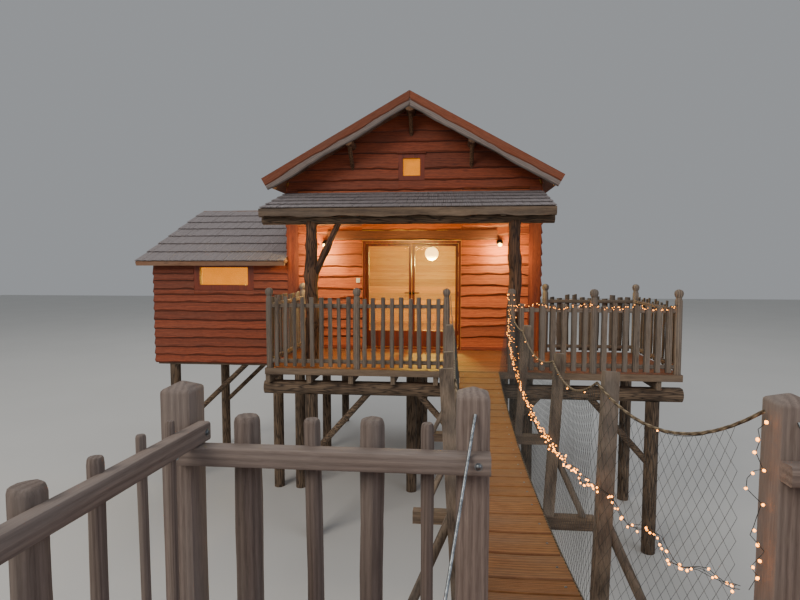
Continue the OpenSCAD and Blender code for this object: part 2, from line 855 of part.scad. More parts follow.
module porch_posts() {
    fork_foot = [20 - fork_post_x, porch_beam_y, floor_z + porch_beam_z - fork_rise];
    fork_head = fork_foot + [fork_reach, 0, fork_rise];
    seat = porch_beam_z - porch_beam_d / 4;
    color(timber)
        difference() {
            union() {
                translate([-fork_post_x, porch_beam_y, floor_z])
                    cylinder(d1 = fork_post_d, d2 = fork_post_d - 34, h = seat);
                pole(fork_foot, fork_head, fork_d);
                translate([log_post_x, porch_beam_y, floor_z]) cylinder(d = log_post_d, h = seat);
            }
            porch_log();
        }
}

module deck_boards() {
    pitch = deck_board_w + deck_board_gap;
    n = floor((deck_out - edge_t) / pitch);
    color(stain)
        for (i = [0:n - 1])
            box([deck_left, deck_right],
                span(deck_front + edge_t + 2 + i * pitch, deck_board_w), [-board_t, 0]);
}

module deck_edge() {
    color(weathered) box([deck_left, deck_right], [deck_front, deck_front + edge_t], [-edge_h, 0]);
}

// Round post with a ball on top
module ball_post(x, y) {
    translate([x, y, floor_z]) {
        cylinder(d = rail_post_d, h = rail_post_h - ball_d / 2);
        translate([0, 0, rail_post_h - ball_d / 2]) sphere(d = ball_d);
    }
}

// Two rails and a row of round pickets along X, from x0 to x1
module picket_bay(x0, x1) {
    n = floor((x1 - x0) / picket_step);
    first = (x0 + x1) / 2 - (n - 1) / 2 * picket_step;
    for (z = [low_rail_z, top_rail_z])
        translate([x0, -rail_t / 2, floor_z + z - rail_h / 2]) cube([x1 - x0, rail_t, rail_h]);
    for (i = [0:n - 1])
        translate([first + i * picket_step, -rail_t / 2 - picket_d / 2 + 12, floor_z + 30])
            cylinder(d = picket_d, h = picket_top - 30, $fn = 24);
}

// Two rails and a row of flat boards along X, from x0 to x1
module slat_bay(x0, x1) {
    n = floor((x1 - x0) / slat_step);
    first = (x0 + x1) / 2 - (n - 1) / 2 * slat_step;
    for (z = [low_rail_z, top_rail_z - 40])
        translate([x0, -rail_t / 2, floor_z + z - rail_h / 2]) cube([x1 - x0, rail_t, rail_h]);
    for (i = [0:n - 1])
        translate([first + i * slat_step - slat_w / 2, -rail_t / 2 - slat_t, floor_z + 30])
            cube([slat_w, slat_t, slat_top - 30]);
}

module porch_railing() {
    color(weathered) {
        for (x = [rail_x, porch_rail_mid, gate_left]) ball_post(x, rail_y);
        translate([0, rail_y, 0]) {
            picket_bay(rail_x, porch_rail_mid);
            picket_bay(porch_rail_mid, gate_left);
        }
        ball_post(rail_x, back_rail_y);
        translate([rail_x, 0, 0]) rotate([0, 0, -90])
            picket_bay(-back_rail_y, -rail_y - rail_post_d / 2 - 5);
    }
}

module side_railing() {
    color(weathered) {
        for (x = [gate_right, side_rail_mid, side_x1]) ball_post(x, rail_y);
        translate([0, rail_y, 0]) {
            slat_bay(gate_right, side_rail_mid);
            slat_bay(side_rail_mid, side_x1);
        }
        ball_post(side_x1, back_rail_y);
        translate([side_x1, 0, 0]) rotate([0, 0, 90])
            slat_bay(rail_y + rail_post_d / 2 + 5, back_rail_y);
        ball_post(side_x + 90, back_rail_y);
        translate([0, back_rail_y, 0]) mirror([0, 1, 0])
            slat_bay(side_x + 90, side_x1 - rail_post_d / 2 - 5);
    }
}

module annex_front() {
    y0 = annex_front_y;
    y1 = annex_front_y + annex_wall_t;
    color(stain)
        difference() {
            along_x(annex_left, -side_x) polygon([
                [y0, floor_z], [y1, floor_z], [y1, annex_wall_top(y1)], [y0, annex_wall_top(y0)]]);
            box(around(annex_win_x, annex_win_w), [y0 - eps, y1 + eps], span(annex_win_z, annex_win_h));
        }
}

module annex_left_wall() {
    y0 = annex_front_y + annex_wall_t;
    y1 = annex_back_y - annex_wall_t;
    color(stain)
        along_x(annex_left, annex_left + annex_wall_t) polygon([
            [y0, floor_z], [y1, floor_z], [y1, annex_wall_top(y1)], [y0, annex_wall_top(y0)]]);
}

module annex_back() {
    y0 = annex_back_y - annex_wall_t;
    y1 = annex_back_y;
    color(stain)
        along_x(annex_left, -side_x) polygon([
            [y0, floor_z], [y1, floor_z], [y1, annex_wall_top(y1)], [y0, annex_wall_top(y0)]]);
}

module annex_floor() {
    color(timber) box([annex_left, -side_x], [annex_front_y, annex_back_y], [-board_t, 0]);
}

module annex_beams() {
    color(timber)
        for (y = annex_beam_y)
            box([annex_left + 30, -side_x], span(y, annex_beam_w), [-board_t - annex_beam_h, -board_t]);
}

module annex_roof() {
    y0 = annex_edge;
    y1 = annex_back_y + annex_out;
    color(shake)
        along_x(annex_left - annex_out, -side_x) polygon([
            [y0, floor_z + annex_under(y0)], [y0, floor_z + annex_under(y0) + annex_roof_v],
            [y1, floor_z + annex_under(y1) + annex_roof_v], [y1, floor_z + annex_under(y1)]]);
}

// Places something on the bridge's curve at an angle from its lowest point
module on_bridge(a) {
    translate([bridge_x, bridge_mid, bridge_c]) rotate([a, 0, 0]) translate([0, 0, -bridge_r]) children();
}

module bridge_planks() {
    step = 2 * bridge_a / plank_n;
    color("#b5763c")
        for (i = [0:plank_n - 1])
            on_bridge((i + 0.5) * step - bridge_a)
                translate([-plank_len / 2, -plank_w / 2, -plank_t]) cube([plank_len, plank_w, plank_t]);
}

module bridge_cables() {
    z = -plank_t - cable_gap - cable_d / 2;
    color(steel)
        for (s = [-1, 1])
            tube([for (i = [0:plank_n]) above(s * cable_x, deck_front - cable_end
                    - i * (bridge_len - 2 * cable_end) / plank_n, z)], cable_d, 8);
}

module bridge_beams() {
    color(weathered)
        for (y = frame_y)
            on_bridge(bridge_angle(y))
                translate([-cross_len / 2, -cross_h / 2, -beam_drop - cross_h])
                    cube([cross_len, cross_h, cross_h]);
}

module bridge_uprights() {
    top = -beam_drop;
    color(weathered)
        for (y = frame_y, s = [-1, 1])
            on_bridge(bridge_angle(y))
                difference() {
                    union() {
                        bar([s * upright_foot, 0, top - upright_sink], [s * hand_x, 0, hand_h], upright_d);
                        pole([s * (cross_len / 2 - 60), 0, top - 60],
                            [s * (upright_foot + hand_x) / 2, 0, bridge_brace_h], bridge_brace_d);
                    }
                    translate([-cross_len, -cross_h, top - 2 * cross_h])
                        cube([2 * cross_len, 2 * cross_h, 2 * cross_h]);
                }
}

// Tube with flat sides through a list of points that run forward, mostly along Y
module tube(points, d, sides) {
    n = len(points);
    rings = [for (p = points, k = [0:sides - 1])
        p + d / 2 * [cos(k * 360 / sides), 0, sin(k * 360 / sides)]];
    skin = [for (i = [0:n - 2], k = [0:sides - 1])
        let (a = i * sides + k, b = i * sides + (k + 1) % sides) [a, b, b + sides, a + sides]];
    first = [[for (k = [sides - 1:-1:0]) k]];
    last = [[for (k = [0:sides - 1]) (n - 1) * sides + k]];
    polyhedron(rings, faces = concat(skin, first, last));
}

// Points of a rope that sags a little between the supports in a list
function draped(ends, sag, n) = concat(
    [for (i = [0:len(ends) - 2], k = [0:n - 1])
        let (t = k / n) ends[i] * (1 - t) + ends[i + 1] * t - [0, 0, 4 * sag * t * (1 - t)]],
    [ends[len(ends) - 1]]);

// Point above the planks at a place y, x from the bridge's middle and z above the planks
function above(x, y, z) =
    [bridge_x + x, bridge_mid + (bridge_r - z) * sin(bridge_angle(y)),
        bridge_c - (bridge_r - z) * cos(bridge_angle(y))];

// Upper rope on each side from railing post to landing post over the uprights, then down to a
// tie on the landing, and lower rope along the planks' ends
module hand_ropes() {
    foot_z = -beam_drop - upright_sink;
    share = (hand_h - rope_down - foot_z) / (hand_h - foot_z);
    inner = upright_foot + share * (hand_x - upright_foot) - upright_d / 2 - rope_d / 2 - 3;
    edge = plank_len / 2 + edge_rope_out;
    color("#8a8070")
        for (s = [-1, 1]) {
            far_end = [bridge_x + s * (gate_half - rail_post_d / 2 - rope_d / 2 - 2), rail_y,
                floor_z + rail_post_h - 110];
            near_end = s < 0
                ? [landing_post_x[1], landing_front + 5, floor_z + rope_end_h]
                : [landing_post_x[2] - post_half - rope_d / 2 - 2, landing_post_y[0],
                    floor_z + rope_end_h + rope_end_rise];
            over_planks = [for (y = frame_y)
                above(s * inner - (s > 0 && y == frame_y[2] ? 20 : 0), y, hand_h - rope_down)];
            tube(draped(concat([far_end], over_planks, [near_end]), rope_sag, 6), rope_d, 8);
            tube([for (i = [0:15])
                above(s * edge, deck_front - cable_end - i * (bridge_len - 2 * cable_end) / 15,
                    -plank_t / 2)],
                rope_d, 8);
            stay_x = s < 0 ? landing_post_x[1] : landing_post_x[2];
            tube([[stay_x, landing_front - landing_post_w - 1, floor_z + stay_h],
                [stay_x + s * stay_out, landing_front - landing_post_w - stay_run,
                    floor_z + rope_d]], rope_d, 8);
        }
}

module landing_boards() {
    pitch = deck_board_w + deck_board_gap;
    n = floor(landing_d / pitch);
    color(stain)
        for (i = [0:n - 1])
            let (y0 = landing_back + i * (landing_d - deck_board_w) / (n - 1), y1 = y0 + deck_board_w)
                translate([0, 0, floor_z - board_t]) linear_extrude(board_t) polygon([
                    [landing_left - widening(y0), y0], [landing_right + widening(y0), y0],
                    [landing_right + widening(y1), y1], [landing_left - widening(y1), y1]]);
}

// Square post with a low hipped head
module landing_post(x, y) {
    w = landing_post_w;
    head = 50;
    translate([x, y, floor_z]) {
        translate([-w / 2, -w / 2, 0]) cube([w, w, landing_post_h - head]);
        translate([0, 0, landing_post_h - head])
            rotate([0, 0, 45]) cylinder(d1 = w * sqrt(2), d2 = 12, h = head, $fn = 4);
    }
}

module landing_posts() {
    color(weathered) {
        for (x = landing_post_x) landing_post(x, landing_post_y[0]);
        for (y = [landing_post_y[1], landing_post_y[2]]) {
            landing_post(landing_left + post_inset(y), y);
            landing_post(landing_right - post_inset(y), y);
        }
    }
}

// Stakes along X from x0 to x1 on the outer side of a rail of width w, up to a height top
module stakes(x0, x1, shares, widths, w, top) {
    for (i = [0:len(shares) - 1])
        translate([x0 + shares[i] * (x1 - x0), w / 2 + widths[i] / 2 - 12, floor_z + 20]) {
            cylinder(d = widths[i], h = top - 20 - widths[i] / 2);
            translate([0, 0, top - 20 - widths[i] / 2]) sphere(d = widths[i]);
        }
}

// Top and bottom rail along X from x0 to x1 of width w, with a rise over the front rails
module rail_pair(x0, x1, w, rise) {
    for (z = [landing_low_z, landing_rail_z])
        translate([x0, -w / 2, floor_z + z - landing_rail / 2 + rise])
            cube([x1 - x0, w, landing_rail]);
}

// The front rails run along the posts' near faces; the side rails pass over them
module landing_fences() {
    px = landing_post_x;
    py = landing_post_y;
    front_y = py[0] - post_half - landing_rail / 2;
    slanted = landing_d / cos(landing_splay);
    side_in = landing_post_w + side_rail_gap + side_rail_w / 2;
    side_start = landing_post_w - rail_past;
    mid_post = mid_post_back / cos(landing_splay);
    front_shares = [0.135, 0.42, 0.655, 0.885];
    front_widths = [108, 65, 96, 50];
    side_shares = [0.131, 0.287, 0.485, 0.691, 0.88];
    side_widths = [34, 34, 52, 100, 60];
    color("#857873") {
        translate([0, front_y, 0]) {
            rail_pair(px[0], px[1] + post_half, landing_rail, 0);
            rail_pair(px[2] - post_half, px[3], landing_rail, 0);
            stakes(px[0] + 2 * post_half + 5, px[1] - post_half, front_shares, front_widths, landing_rail,
                stake_top);
            stakes(px[2] + post_half, px[3] - 2 * post_half - 5, front_shares, front_widths, landing_rail,
                stake_top);
        }
        for (s = [-1, 1])
            translate([s < 0 ? landing_left : landing_right, landing_front, 0])
                mirror([s < 0 ? 0 : 1, 0, 0]) rotate([0, 0, -90 - landing_splay]) translate([0, side_in, 0]) {
                    rail_pair(side_start, slanted, side_rail_w, landing_rail + 1);
                    mirror([0, 1, 0]) {
                        stakes(landing_post_w, mid_post - post_half, side_shares, side_widths, side_rail_w,
                            side_stake_top);
                        stakes(mid_post + post_half, slanted - landing_post_w, side_shares, side_widths,
                            side_rail_w, side_stake_top);
                    }
                }
    }
}

stilts();
stilt_braces();
log_beams();
floor_joists();
cabin_floor();
front_wall_left();
front_wall_right();
wall_over_door();
front_gable();
left_wall();
right_wall();
back_wall();
roof_left();
roof_right();
roof_logs();
gable_braces();
barge_boards();
corner_boards();
door_frame();
door_left();
door_left_glass();
door_right();
door_right_glass();
window_frames();
window_glass();
wall_lights();
pendant_lamp();
porch_roof();
porch_rafters();
porch_fascia();
porch_posts();
deck_boards();
deck_edge();
porch_railing();
side_railing();
annex_front();
annex_left_wall();
annex_back();
annex_floor();
annex_beams();
annex_roof();
bridge_planks();
bridge_cables();
bridge_beams();
bridge_uprights();
hand_ropes();
landing_boards();
landing_posts();
landing_fences();
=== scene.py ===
# Tree house on log stilts with a rope bridge: looks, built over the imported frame
import bmesh
import bpy
import json
import math
import random
from mathutils import Matrix, Vector, noise

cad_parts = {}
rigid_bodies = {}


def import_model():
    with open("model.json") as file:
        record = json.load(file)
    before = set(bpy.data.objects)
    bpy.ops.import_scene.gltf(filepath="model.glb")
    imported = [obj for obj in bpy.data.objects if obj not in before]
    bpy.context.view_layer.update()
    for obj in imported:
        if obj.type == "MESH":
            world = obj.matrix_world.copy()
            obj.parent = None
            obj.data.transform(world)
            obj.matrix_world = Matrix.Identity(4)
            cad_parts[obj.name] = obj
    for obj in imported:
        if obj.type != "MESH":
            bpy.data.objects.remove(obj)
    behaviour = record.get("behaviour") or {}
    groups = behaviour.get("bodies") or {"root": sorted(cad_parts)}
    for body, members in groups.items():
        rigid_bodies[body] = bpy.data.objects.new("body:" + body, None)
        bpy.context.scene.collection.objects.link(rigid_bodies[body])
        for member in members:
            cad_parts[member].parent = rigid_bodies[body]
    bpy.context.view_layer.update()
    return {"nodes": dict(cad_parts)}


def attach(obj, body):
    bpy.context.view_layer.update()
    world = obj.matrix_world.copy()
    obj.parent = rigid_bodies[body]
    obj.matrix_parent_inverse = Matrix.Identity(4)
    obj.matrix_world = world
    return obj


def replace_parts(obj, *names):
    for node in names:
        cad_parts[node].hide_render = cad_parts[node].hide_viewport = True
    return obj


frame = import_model()
nodes = frame["nodes"]
deck = 2.8  # height of every floor, as in the frame


# small tools: objects, nodes and meshes
def addObject(name, data):
    item = bpy.data.objects.new(name, data)
    bpy.context.scene.collection.objects.link(item)
    return item


def addNode(tree, kind, inputs=None, **settings):
    # a node with its settings; an input is a value or another node's socket
    node = tree.nodes.new(kind)
    for name, value in settings.items():
        setattr(node, name, value)
    for name, value in (inputs or {}).items():
        if isinstance(value, bpy.types.NodeSocket):
            tree.links.new(value, node.inputs[name])
        else:
            node.inputs[name].default_value = value
    return node


def pick(tree, kind, inputs=None, out=0, **settings):
    # the same, but gives back one of the node's outputs
    return addNode(tree, kind, inputs, **settings).outputs[out]


def calc(tree, operation, *values):
    return pick(tree, "ShaderNodeMath", dict(enumerate(values)), operation=operation)


def remap(tree, value, *ends, **settings):
    # ends are from low, from high, to low, to high
    return pick(tree, "ShaderNodeMapRange", dict(enumerate((value, *ends))), **settings)


def blend(tree, share, low, high):
    return pick(tree, "ShaderNodeMix", {0: share, 6: low, 7: high}, 2, data_type="RGBA")


def speckle(tree, place, scale, detail, roughness=0.5, distortion=0.0):
    return pick(tree, "ShaderNodeTexNoise", {"Vector": place, "Scale": scale, "Detail": detail,
                                             "Roughness": roughness, "Distortion": distortion})


def stretch(tree, place, *scale):
    return pick(tree, "ShaderNodeMapping", {"Vector": place, "Scale": scale})


def attribute(tree, name, out):
    return pick(tree, "ShaderNodeAttribute", None, out, attribute_name=name)


def objectPlace(tree):
    return pick(tree, "ShaderNodeTexCoord", None, "Object")


def grainPlace(tree, turn):
    # place in the timber with the grain along X: the mesh's own fibre, or the object's place turned by degrees
    if turn is None:
        return attribute(tree, "fibre", "Vector")
    angles = [math.radians(a) for a in turn]
    return pick(tree, "ShaderNodeMapping", {"Vector": objectPlace(tree), "Rotation": angles})


def toLinear(hexColour, share=1.0):
    # linear colour of a hex sRGB one, darkened to a share
    parts = [int(hexColour[i:i + 2], 16) / 255 for i in (1, 3, 5)]
    return [share * (p / 12.92 if p <= 0.04045 else ((p + 0.055) / 1.055) ** 2.4) for p in parts] + [1.0]


def newStock():
    return {"verts": [], "faces": [], "fibre": [], "tint": []}


def addPoint(stock, place, fibre, tint):
    stock["verts"].append(tuple(place))
    stock["fibre"].append(tuple(fibre))
    stock["tint"].append(tint)
    return len(stock["verts"]) - 1


def closeRings(stock, rings):
    # skin over rings of points, with a cap at both ends
    sides = len(rings[0])
    for a, b in zip(rings, rings[1:]):
        for k in range(sides):
            stock["faces"].append((a[k], b[k], b[(k + 1) % sides], a[(k + 1) % sides]))
    stock["faces"] += [tuple(reversed(rings[0])), tuple(rings[-1])]


def fixNormals(mesh):
    work = bmesh.new()
    work.from_mesh(mesh)
    bmesh.ops.recalc_face_normals(work, faces=work.faces)
    work.to_mesh(mesh)
    work.free()
    mesh.update()


sharpFrom = {"made": 38, "grown": 40}


def smoothOver(mesh, degrees):
    mesh.shade_smooth()
    mesh.set_sharp_from_angle(angle=math.radians(degrees))


def keepVectors(mesh, name, values):
    mesh.attributes.new(name, "FLOAT_VECTOR", "POINT").data.foreach_set("vector", [c for v in values for c in v])


def makeMesh(name, stock, smooth=False):
    mesh = bpy.data.meshes.new(name)
    mesh.from_pydata(stock["verts"], [], stock["faces"])
    keepVectors(mesh, "fibre", stock["fibre"])
    mesh.attributes.new("tint", "FLOAT", "POINT").data.foreach_set("value", stock["tint"])
    if smooth:
        smoothOver(mesh, sharpFrom["made"])
    fixNormals(mesh)
    return mesh


def claim(piece, body="house"):
    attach(piece, body)
    return piece


def makePiece(name, stock, material, body="house", smooth=False):
    mesh = makeMesh(name, stock, smooth)
    mesh.materials.append(material)
    return claim(addObject(name, mesh), body)


def randomShift(rng, size=3):
    # a far place in the grain, so that no two boards look alike
    return Vector([rng.uniform(0, 50) for _ in range(size)] + [0] * (3 - size))


def wane(t, seed, depth):
    # natural edge of a board sawn from the round: long waves, short waves and a knot here and there
    a = noise.noise((t * 1.3, seed * 7.3, 0.0))
    b = noise.noise((t * 4.1, seed * 3.1, 5.0))
    c = noise.noise((t * 11.0, seed * 1.7, 9.0))
    knot = max(0.0, noise.noise((t * 2.3, seed * 5.9, 20.0)) - 0.32)
    return depth * (1.1 * a + 0.7 * b + 0.25 * c + 2.2 * knot)


# a waney board's underside and lower bevel get a tint far below the rest ("dark"): painted shade of the shadow under
# each board's lower edge
planks = {"waney": {"from": 0.01, "up": 0.036, "in": 0.02, "dark": -1.2}, "sawn": {"up": 0.006, "in": 0.004},
          "sway": 0.003}


def addPlank(stock, face, low, high, ends, thick, edges, rng, step=0.12):
    # a board on a face (origin, along, up, out): low and high are its edges' (height, standing out), ends are
    # (start, end) along it or (start low, end low, start high, end high), edges are (depth low, depth high)
    seed, tint, shift = rng.uniform(0, 90), rng.random(), randomShift(rng)
    ends = (*ends, *ends)[:4]
    origin, along, up, out = (Vector(v) for v in face)
    n = max(2, int((ends[1] - ends[0]) / step))
    waney = edges[0] > planks["waney"]["from"]
    worn = planks["waney" if waney else "sawn"]
    bevelIn = min(worn["in"], thick * 0.7) if waney else worn["in"]
    # painted shade: the underside and lower bevel of a waney edge take the far lower tint
    dark = 0.25 * tint + worn["dark"] if waney else tint
    rings = []
    for i in range(n + 1):
        t = i / n
        tLow = ends[0] + (ends[1] - ends[0]) * t
        tHigh = ends[2] + (ends[3] - ends[2]) * t
        zLow = low[0] + wane(tLow, seed, edges[0])
        zHigh = high[0] + wane(tHigh, seed + 31, edges[1])
        sway = planks["sway"] * noise.noise((tLow * 2.0, seed, 3.0))
        bevel = worn["up"] * (1 + 0.8 * noise.noise((tLow * 3.0, seed, 40.0)))
        corners = ((tLow, zLow, low[1] - thick, dark), (tLow, zLow, low[1] - bevelIn + sway, dark),
                   (tLow, zLow + bevel, low[1] + sway, tint),
                   ((tLow + tHigh) / 2, (low[0] + high[0]) / 2, (low[1] + high[1]) / 2 + sway, tint),
                   (tHigh, zHigh, high[1] + sway, tint), (tHigh, zHigh, high[1] - thick, tint))
        rings.append([addPoint(stock, origin + along * a + up * b + out * c, Vector((a, b, c)) + shift, shade)
                      for a, b, c, shade in corners])
    closeRings(stock, rings)


def addStick(stock, path, sections, rng, side=(1, 0, 0), tint=None):
    # a length of timber: one outline (list of (u, v)) for each point of the path
    tint = rng.random() if tint is None else tint
    shift = randomShift(rng)
    path = [Vector(p) for p in path]
    run, rings = 0.0, []
    for i, place in enumerate(path):
        forward = (path[min(i + 1, len(path) - 1)] - path[max(i - 1, 0)]).normalized()
        u = (Vector(side) - forward * Vector(side).dot(forward)).normalized()
        v = forward.cross(u)
        if i:
            run += (place - path[i - 1]).length
        rings.append([addPoint(stock, place + u * a + v * b, Vector((run, a, b)) + shift, tint)
                      for a, b in sections[i]])
    closeRings(stock, rings)


def circle(sides):
    return [(math.cos(2 * math.pi * k / sides), math.sin(2 * math.pi * k / sides)) for k in range(sides)]


def addTurned(stock, place, axis, profile, sides):
    # turned shape: profile is a list of (radius, height) along the axis
    w = Vector(axis).normalized()
    u = (Vector((1, 0, 0)) - w * w.x).normalized()
    v = w.cross(u)
    closeRings(stock, [[addPoint(stock, Vector(place) + w * h + u * (r * x) + v * (r * y),
                                 (h, r * 3, k / sides * 0.2), 0.5) for k, (x, y) in enumerate(circle(sides))]
                       for r, h in profile])


def turnedShape(name, profile, sides):
    # small turned shape on its own foot, for scattering
    stock = newStock()
    closeRings(stock, [[addPoint(stock, (r * x, r * y, h), (h, r, 0), 0) for x, y in circle(sides)]
                       for r, h in profile])
    return makeMesh(name, stock, True)


def roundSection(radius, sides, seed, rough, run):
    # outline of a barked or split stick
    out = []
    for x, y in circle(sides):
        r = radius * (1 + rough * noise.noise((x * 1.4 + seed, y * 1.4, run * 3.0 + seed)))
        out.append((r * x, r * y))
    return out


def squareSection(width, height, soft, wobble, seed, run):
    # outline of sawn timber with worn corners
    a, b, c = width / 2, height / 2, soft * 0.3
    w = wobble * noise.noise((run * 2.0, seed, 1.0))
    h = wobble * noise.noise((run * 2.0, seed, 8.0))
    outline = ((a - soft, -b), (a - c, c - b), (a, soft - b), (a, b - soft), (a - c, b - c), (a - soft, b),
               (soft - a, b), (c - a, b - c), (-a, b - soft), (-a, soft - b), (c - a, c - b), (soft - a, -b))
    return [(x + w, y + h) for x, y in outline]


def draped(ends, sags, steps):
    # line over supports, with its own sag between each two
    line = []
    for a, b, sag in zip(ends, ends[1:], sags):
        for k in range(steps):
            t = k / steps
            line.append(Vector(a).lerp(Vector(b), t) - Vector((0, 0, 4 * sag * t * (1 - t))))
    return line + [Vector(ends[-1])]


# node trees that grow what repeats: scattered pieces and strands
def startTree(name, kinds):
    tree = bpy.data.node_groups.new(name, "GeometryNodeTree")
    for label, kind in {"Geometry": "Geometry", **kinds, "Material": "Material"}.items():
        tree.interface.new_socket(name=label, in_out="INPUT", socket_type="NodeSocket" + kind)
    tree.interface.new_socket(name="Geometry", in_out="OUTPUT", socket_type="NodeSocketGeometry")
    return tree, addNode(tree, "NodeGroupInput").outputs


def endTree(tree, start, geometry):
    real = pick(tree, "GeometryNodeRealizeInstances", {"Geometry": geometry})
    coated = pick(tree, "GeometryNodeSetMaterial", {"Geometry": real, "Material": start["Material"]})
    addNode(tree, "NodeGroupOutput", {"Geometry": coated})
    return tree


def keepValue(tree, geometry, name, value, domain="POINT"):
    return pick(tree, "GeometryNodeStoreNamedAttribute", {"Geometry": geometry, "Name": name, "Value": value},
                data_type="FLOAT", domain=domain)


def chance(tree, kind, low, high, seed):
    # random value; each kind has its own inputs and output on the node
    first, out = {"FLOAT_VECTOR": (0, 0), "FLOAT": (2, 1), "INT": (4, 2)}[kind]
    return pick(tree, "FunctionNodeRandomValue", {first: low, first + 1: high, 8: seed}, out, data_type=kind)


def buildScatterTree():
    # puts one of the variants on every point, turned and sized by the point's own attributes
    tree, start = startTree("scatterPieces", {"Variants": "Collection", "Size Change": "Float",
                                              "Turn Change": "Float", "Seed": "Int"})
    seed, lean = start["Seed"], start["Turn Change"]
    variants = pick(tree, "GeometryNodeCollectionInfo",
                    {"Collection": start["Variants"], "Separate Children": True, "Reset Children": True})
    turn, grow = [pick(tree, "GeometryNodeInputNamedAttribute", {"Name": name}, data_type="FLOAT_VECTOR")
                  for name in ("turn", "grow")]
    least, most = [calc(tree, operation, 1.0, start["Size Change"]) for operation in ("SUBTRACT", "ADD")]
    size = chance(tree, "FLOAT", least, most, calc(tree, "ADD", seed, 7.0))
    scale = pick(tree, "ShaderNodeVectorMath", {0: grow, 3: size}, operation="SCALE")
    leaning = chance(tree, "FLOAT_VECTOR", calc(tree, "MULTIPLY", lean, -1.0), lean, seed)
    turned = pick(tree, "ShaderNodeVectorMath", {0: turn, 1: leaning}, operation="ADD")
    placed = pick(tree, "GeometryNodeInstanceOnPoints",
                  {"Points": start["Geometry"], "Instance": variants, "Pick Instance": True,
                   "Instance Index": chance(tree, "INT", 0, 60, seed), "Rotation": turned, "Scale": scale})
    return endTree(tree, start, keepValue(tree, placed, "tint", chance(tree, "FLOAT", 0.0, 1.0, seed), "INSTANCE"))


def buildSweepTree():
    # draws a round strand along every edge, and keeps how far along and how far round it is
    tree, start = startTree("sweepStrands", {"Radius": "Float", "Sides": "Int"})
    lines = pick(tree, "GeometryNodeMeshToCurve", {"Mesh": start["Geometry"]})
    measured = keepValue(tree, lines, "runLength", pick(tree, "GeometryNodeSplineParameter", None, "Length"))
    profile = pick(tree, "GeometryNodeCurvePrimitiveCircle",
                   {"Resolution": start["Sides"], "Radius": start["Radius"]}, mode="RADIUS")
    marked = keepValue(tree, profile, "around", pick(tree, "GeometryNodeSplineParameter", None, "Factor"))
    return endTree(tree, start, pick(tree, "GeometryNodeCurveToMesh",
                                     {"Curve": measured, "Profile Curve": marked, "Fill Caps": True}))


scatterTree = buildScatterTree()
sweepTree = buildSweepTree()


def growPiece(name, mesh, tree, values, smooth):
    piece = addObject(name, mesh)
    modifier = piece.modifiers.new("grow", "NODES")
    modifier.node_group = tree
    for item in tree.interface.items_tree:
        if item.in_out == "INPUT" and item.name in values:
            modifier[item.identifier] = values[item.name]
    graph = bpy.context.evaluated_depsgraph_get()
    result = bpy.data.meshes.new_from_object(piece.evaluated_get(graph), preserve_all_data_layers=True,
                                             depsgraph=graph)
    piece.modifiers.remove(modifier)
    piece.data = result
    result.name = name
    if smooth:
        smoothOver(result, sharpFrom["grown"])
    print(name, "grown,", len(result.polygons), "faces")
    return claim(piece)


def scatter(name, points, variants, material, seed, sizeChange=0.0, turnChange=0.0, smooth=False):
    # points are (place, euler, scale); variants are meshes
    mesh = bpy.data.meshes.new(name + "Points")
    mesh.from_pydata([tuple(p[0]) for p in points], [], [])
    keepVectors(mesh, "turn", [p[1] for p in points])
    keepVectors(mesh, "grow", [p[2] for p in points])
    shelf = bpy.data.collections.new(name + "Variants")
    for i, shape in enumerate(variants):
        shelf.objects.link(bpy.data.objects.new(name + "Variant" + str(i), shape))
    piece = growPiece(name, mesh, scatterTree, {"Variants": shelf, "Material": material, "Size Change": sizeChange,
                                                "Turn Change": turnChange, "Seed": seed}, smooth)
    for sample in list(shelf.objects):
        bpy.data.objects.remove(sample)
    bpy.data.collections.remove(shelf)
    return piece


def sweep(name, lines, radius, sides, material):
    # lines are lists of points; each becomes one strand
    verts, edges = [], []
    for line in lines:
        edges += [(len(verts) + i, len(verts) + i + 1) for i in range(len(line) - 1)]
        verts += [tuple(p) for p in line]
    mesh = bpy.data.meshes.new(name + "Lines")
    mesh.from_pydata(verts, edges, [])
    return growPiece(name, mesh, sweepTree, {"Material": material, "Radius": radius, "Sides": sides}, True)


# the photograph's own view, with the focal length and the picture's width in pixels
eye = {"place": (0.785, -10.65, 4.46), "turn": 5.41, "dip": 3.88, "focal": 560, "width": 800, "sensor": 36,
       "clip": 0.05}
cameraData = bpy.data.cameras.new("eye")
cameraData.sensor_width = eye["sensor"]
cameraData.lens = eye["focal"] / eye["width"] * eye["sensor"]
cameraData.clip_start = eye["clip"]
camera = addObject("eye", cameraData)
camera.location = eye["place"]
camera.rotation_euler = (math.radians(90 - eye["dip"]), 0, math.radians(eye["turn"]))
bpy.context.scene.camera = camera
print("camera set")


# finishes
def startMaterial(name):
    material = bpy.data.materials.new(name)
    material.use_nodes = True
    tree = material.node_tree
    return material, tree, tree.nodes["Principled BSDF"]


def coat(tree, shader, colour, rough, strength, distance, height):
    # leads colour, roughness and relief into the shader
    bump = pick(tree, "ShaderNodeBump", {"Strength": strength, "Distance": distance, "Height": height})
    for name, socket in (("Base Color", colour), ("Roughness", rough), ("Normal", bump)):
        tree.links.new(socket, shader.inputs[name])


